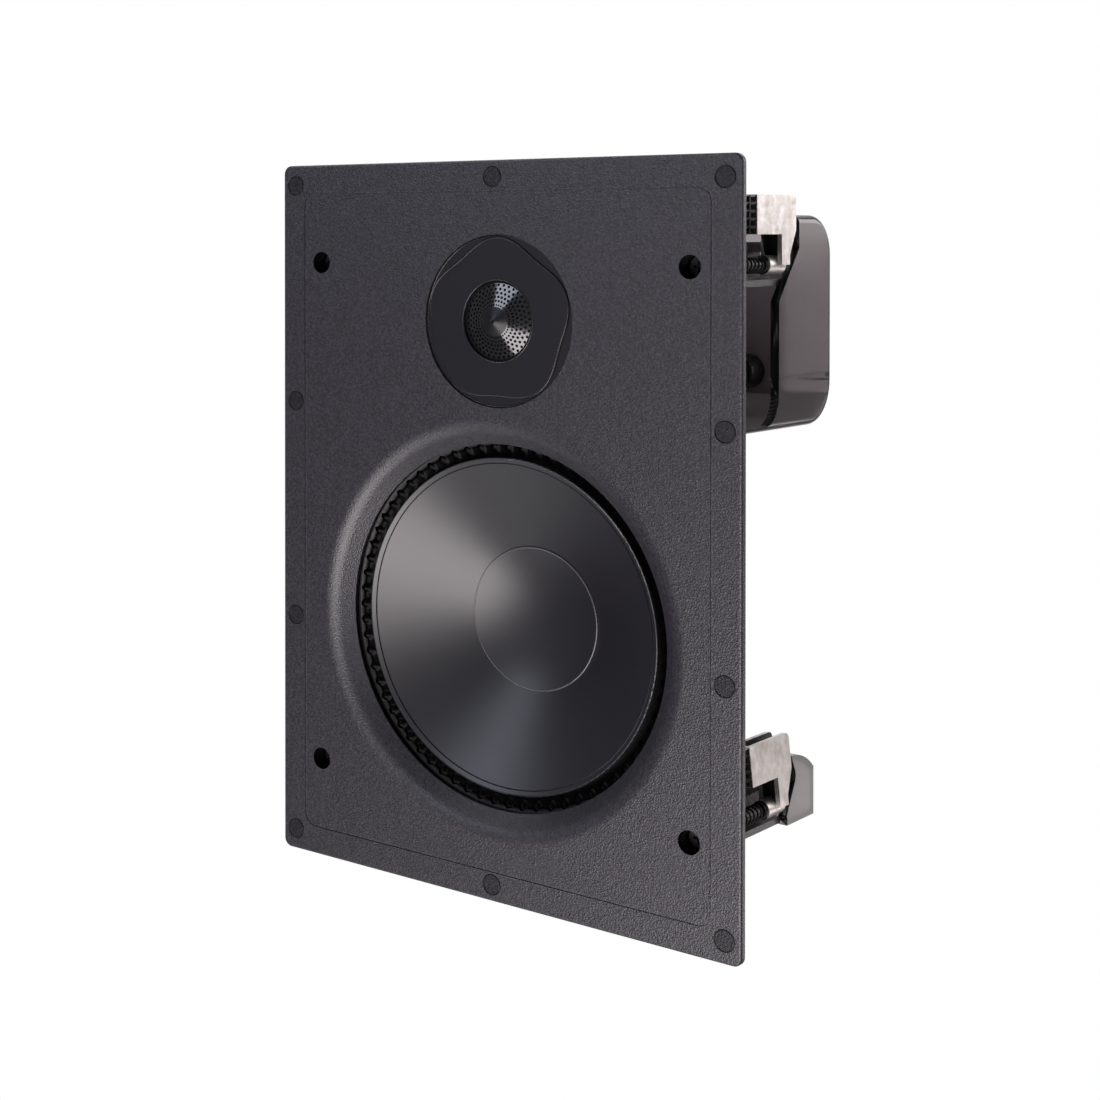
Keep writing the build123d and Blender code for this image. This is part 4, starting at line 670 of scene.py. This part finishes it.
def fine_edges():
    """Thin beads on the dust cap's seam and on the tweeter plate's rims, in lighter colours as painted
    highlights.
    """
    # A glossier, slightly lighter copy of the plate's plastic; the lighter colour is painted highlight on
    # the rims
    highlight_edge = satin("painted_highlight_edge", (0.020, 0.019, 0.024), 0.25, Specular_IOR_Level=1.0)
    cap_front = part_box("woofer_dust_cap")[0][1] - FRONT + CAP_BEAD_R
    woofer, tweeter = (0, WOOFER_Z), (TWEETER_X, TWEETER_Z)
    seam_and_highlight = ring("cap_seam_and_painted_highlight", CAP_SEAM_R, cap_front, CAP_SEAM_WIRE, woofer, "cone_polymer", "woofer_moving")
    # The seam bead is much lighter than the cone: a painted highlight on the seam
    seam_and_highlight.data.materials[0] = satin("cap_seam_and_painted_highlight", (0.12, 0.115, 0.12), 0.22, Specular_IOR_Level=1.0)
    for name, radius, depth, segments in (
        ("plateau_edge", lobed, PLATE_FACE + EDGE_WIRE / 2, 240),
        ("plate_edge", PLATE_R, PLATE_BASE, 192),
        ("bore_edge", BORE_R, PLATE_FACE, 192),
    ):
        obj = ring(name, radius, depth, EDGE_WIRE, tweeter, "plate_plastic", "housing", segments)
        obj.data.materials[0] = highlight_edge


def magnet_gap_shades():
    """A thin black ring round each magnet, as painted shade in the gap."""
    mesh = nodes["grille_magnets"].data
    groups = []
    for face in mesh.polygons:
        if face.normal.y < -0.9:
            corners = [mesh.vertices[v].co for v in face.vertices]
            near = [g for g in groups if (g[0] - corners[0]).length < MAGNET_SPAN]
            group = near[0] if near else []
            if not near:
                groups.append(group)
            group += corners
    for i, group in enumerate(groups):
        left, right = min(p.x for p in group), max(p.x for p in group)
        low, high = min(p.z for p in group), max(p.z for p in group)
        centre = ((left + right) / 2, (low + high) / 2)
        radius = (right - left) / 2 + GAP_OFFSET
        obj = ring(f"magnet_gap_shade_{i}", radius, 0, GAP_WIRE, centre, "magnet_nickel", "housing", 48, 8)
        # The ring is black for painted shade
        obj.data.materials[0] = painted_shade_black


def panel_shade():
    """Paints light on the floor of the inset line with a lighter copy of the panel's plastic, and paints
    shade black into the clamp holes.
    """
    mesh = nodes["front_baffle"].data
    # A lighter copy of the panel's plastic: painted light against the shade in the inset line
    mesh.materials.append(panel_plastic("inset_line_painted_light", tinted(PANEL, 1.6)))
    # Black for painted shade inside the clamp holes
    mesh.materials.append(painted_shade_black)
    holes = []
    for n in range(1, 5):
        low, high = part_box(f"clamp_screw_{n}")
        holes.append(((low[0] + high[0]) / 2, (low[2] + high[2]) / 2))

    def in_hole(point):
        return any(sqrt((point.x - x) ** 2 + (point.z - z) ** 2) < CLAMP_HOLE_R for x, z in holes)

    for face in mesh.polygons:
        depth = face.center.y - FRONT
        if face.normal.y < -0.9 and abs(depth - LINE_DEPTH) < LINE_SLACK:
            face.material_index = 1
        elif depth > CLAMP_HOLE_TOP and in_hole(face.center):
            face.material_index = 2


def rib():
    """Short ribs in the rear corners of the cover, seen through its sides."""
    x, y = COVER_HIGH[0] - COVER_WALL, COVER_HIGH[1] - COVER_WALL
    for side, name in ((1, "cover_rib_1"), (-1, "cover_rib_2")):
        points = []
        for a in (x - RIB_WIDE, x):
            for b in (y - RIB_DEEP, y):
                points += [(side * a, b, RIB_Z), (side * a, b, RIB_Z + RIB_TALL)]
        obj = piece(name, points, [face[::side] for face in BOX_FACES], "smoked_plastic")
        obj.data.materials[0] = shade_lining


cover_painted_shade()
lens()
surround()
spider()
flare_skin()
for n in range(1, 5):
    spring(n)
    clamp_shade(n)
fine_edges()
magnet_gap_shades()
panel_shade()
rib()


# Light, floor and camera

ROOM_LIGHT = 0.1
FLOOR_Z = -1.4
FLOOR_HALF = 8.0
VIEW = Vector((-sin(AZIMUTH), cos(AZIMUTH), 0))
BACKDROP_START, BACKDROP_END = 0.55, 1.0


def area(name, at, target, size, power, color=(1, 1, 1), roll=0.0):
    """A rectangular lamp aimed at a point."""
    lamp = bpy.data.lights.new(name, "AREA")
    lamp.shape = "RECTANGLE"
    lamp.color = color
    lamp.size, lamp.size_y = size
    lamp.energy = power
    obj = bpy.data.objects.new(name, lamp)
    obj.location = at
    aim = (Vector(target) - Vector(at)).to_track_quat("-Z", "Y").to_matrix()
    obj.rotation_euler = (aim @ Matrix.Rotation(roll, 3, "Z")).to_euler()
    bpy.context.scene.collection.objects.link(obj)


def behind(m, place):
    """0 in front of the speaker, rising to 1 behind it, along the line of view."""
    links = m.node_tree.links
    toward = add(m, "ShaderNodeVectorMath", operation="NORMALIZE")
    links.new(place, toward.inputs[0])
    along = add(m, "ShaderNodeVectorMath", operation="DOT_PRODUCT")
    along.inputs[1].default_value = VIEW
    links.new(toward.outputs["Vector"], along.inputs[0])
    limits = {"From Min": BACKDROP_START, "From Max": BACKDROP_END}
    ramp = add(m, "ShaderNodeMapRange", interpolation_type="SMOOTHSTEP", **limits)
    links.new(along.outputs["Value"], ramp.inputs["Value"])
    return ramp.outputs["Result"]


def combine(m, operation, a, b):
    """One number worked out from two."""
    node = add(m, "ShaderNodeMath", operation=operation)
    m.node_tree.links.new(a, node.inputs[0])
    m.node_tree.links.new(b, node.inputs[1])
    return node.outputs[0]


def backdrop(m, place):
    """1 for rays that show the white backdrop: from the camera, through glass, or mirrored from behind."""
    path = add(m, "ShaderNodeLightPath")
    mirrored = combine(m, "MULTIPLY", path.outputs["Is Glossy Ray"], behind(m, place))
    seen = combine(m, "MAXIMUM", path.outputs["Is Camera Ray"], path.outputs["Is Transmission Ray"])
    return combine(m, "MAXIMUM", seen, mirrored)


def studio():
    """A white backdrop behind the speaker and a dim room in front of it."""
    world = bpy.data.worlds.new("studio")
    bpy.context.scene.world = world
    world.use_nodes = True
    links = world.node_tree.links
    sky = world.node_tree.nodes["Background"]
    sky.inputs["Color"].default_value = (1, 1, 1, 1)
    place = add(world, "ShaderNodeTexCoord")
    strength = add(world, "ShaderNodeMapRange", **{"To Min": ROOM_LIGHT, "To Max": 1.0})
    links.new(backdrop(world, place.outputs["Generated"]), strength.inputs["Value"])
    links.new(strength.outputs["Result"], sky.inputs["Strength"])


def floor():
    """A pale floor that is white where it is the backdrop."""
    mesh = bpy.data.meshes.new("floor")
    corners = [(x * FLOOR_HALF, y * FLOOR_HALF, FLOOR_Z) for x, y in ((-1, -1), (1, -1), (1, 1), (-1, 1))]
    mesh.from_pydata(corners, [], [(0, 1, 2, 3)])
    m = material("floor", (0.5, 0.5, 0.5), 0.9)
    tree = m.node_tree
    place = add(m, "ShaderNodeNewGeometry")
    glow = add(m, "ShaderNodeEmission")
    mix = add(m, "ShaderNodeMixShader")
    tree.links.new(backdrop(m, place.outputs["Position"]), mix.inputs["Fac"])
    tree.links.new(tree.nodes["Principled BSDF"].outputs["BSDF"], mix.inputs[1])
    tree.links.new(glow.outputs["Emission"], mix.inputs[2])
    tree.links.new(mix.outputs["Shader"], tree.nodes["Material Output"].inputs["Surface"])
    mesh.materials.append(m)
    obj = bpy.data.objects.new("floor", mesh)
    bpy.context.scene.collection.objects.link(obj)


def camera():
    """The photograph's camera, with its frame shifted as the photograph's is."""
    base = Matrix(((cos(AZIMUTH), sin(AZIMUTH), 0), (0, 0, -1), (-sin(AZIMUTH), cos(AZIMUTH), 0)))
    pitch = Matrix.Rotation(PITCH, 3, "X")
    roll = Matrix.Rotation(CAMERA_ROLL, 3, "Z")
    right, down, ahead = roll @ pitch @ base
    data = bpy.data.cameras.new("camera")
    data.sensor_width = SENSOR_MM
    data.lens = FOCAL_PX / FRAME_PX * SENSOR_MM
    data.shift_x = (FRAME_PX / 2 - CENTRE_PX[0]) / FRAME_PX
    data.shift_y = (CENTRE_PX[1] - FRAME_PX / 2) / FRAME_PX
    obj = bpy.data.objects.new("camera", data)
    turn = Matrix((right, -down, -ahead)).transposed().to_4x4()
    obj.matrix_world = Matrix.Translation(CAMERA_AT) @ turn
    bpy.context.scene.collection.objects.link(obj)
    bpy.context.scene.camera = obj


studio()
floor()
area("low_softbox", (0.28, -1.33, -0.80), (0, 0, -0.05), (1.25, 1.25), 23, (1.0, 0.94, 0.95), radians(45))
area("high_softbox", (-0.70, -1.35, 0.80), (0, 0, 0.05), (0.7, 0.5), 3.6, (0.80, 0.85, 1.0))
area("side_softbox", (1.35, -0.88, 0.05), (0, 0, 0), (0.3, 1.0), 1.5)
area("top_softbox", (-0.80, 0.0, 1.20), (0, 0, 0.1), (0.8, 0.5), 3)
area("fill_softbox", (-0.83, -0.45, -1.17), (0, 0, -0.05), (0.8, 0.8), 1.1)
area("rear_softbox", (1.20, 1.80, 0.55), (0.11, 0.08, 0.05), (1.4, 0.8), 10, (1.0, 0.96, 0.95))
area("rear_low_softbox", (1.10, 1.60, -0.75), (0.1, 0.1, -0.1), (1.0, 0.6), 4, (1.0, 0.94, 0.91))
area("rear_top_softbox", (0.10, 1.60, 1.15), (0.1, 0.1, 0.1), (1.0, 0.4), 4)
camera()
bpy.context.scene.view_settings.view_transform = "Standard"
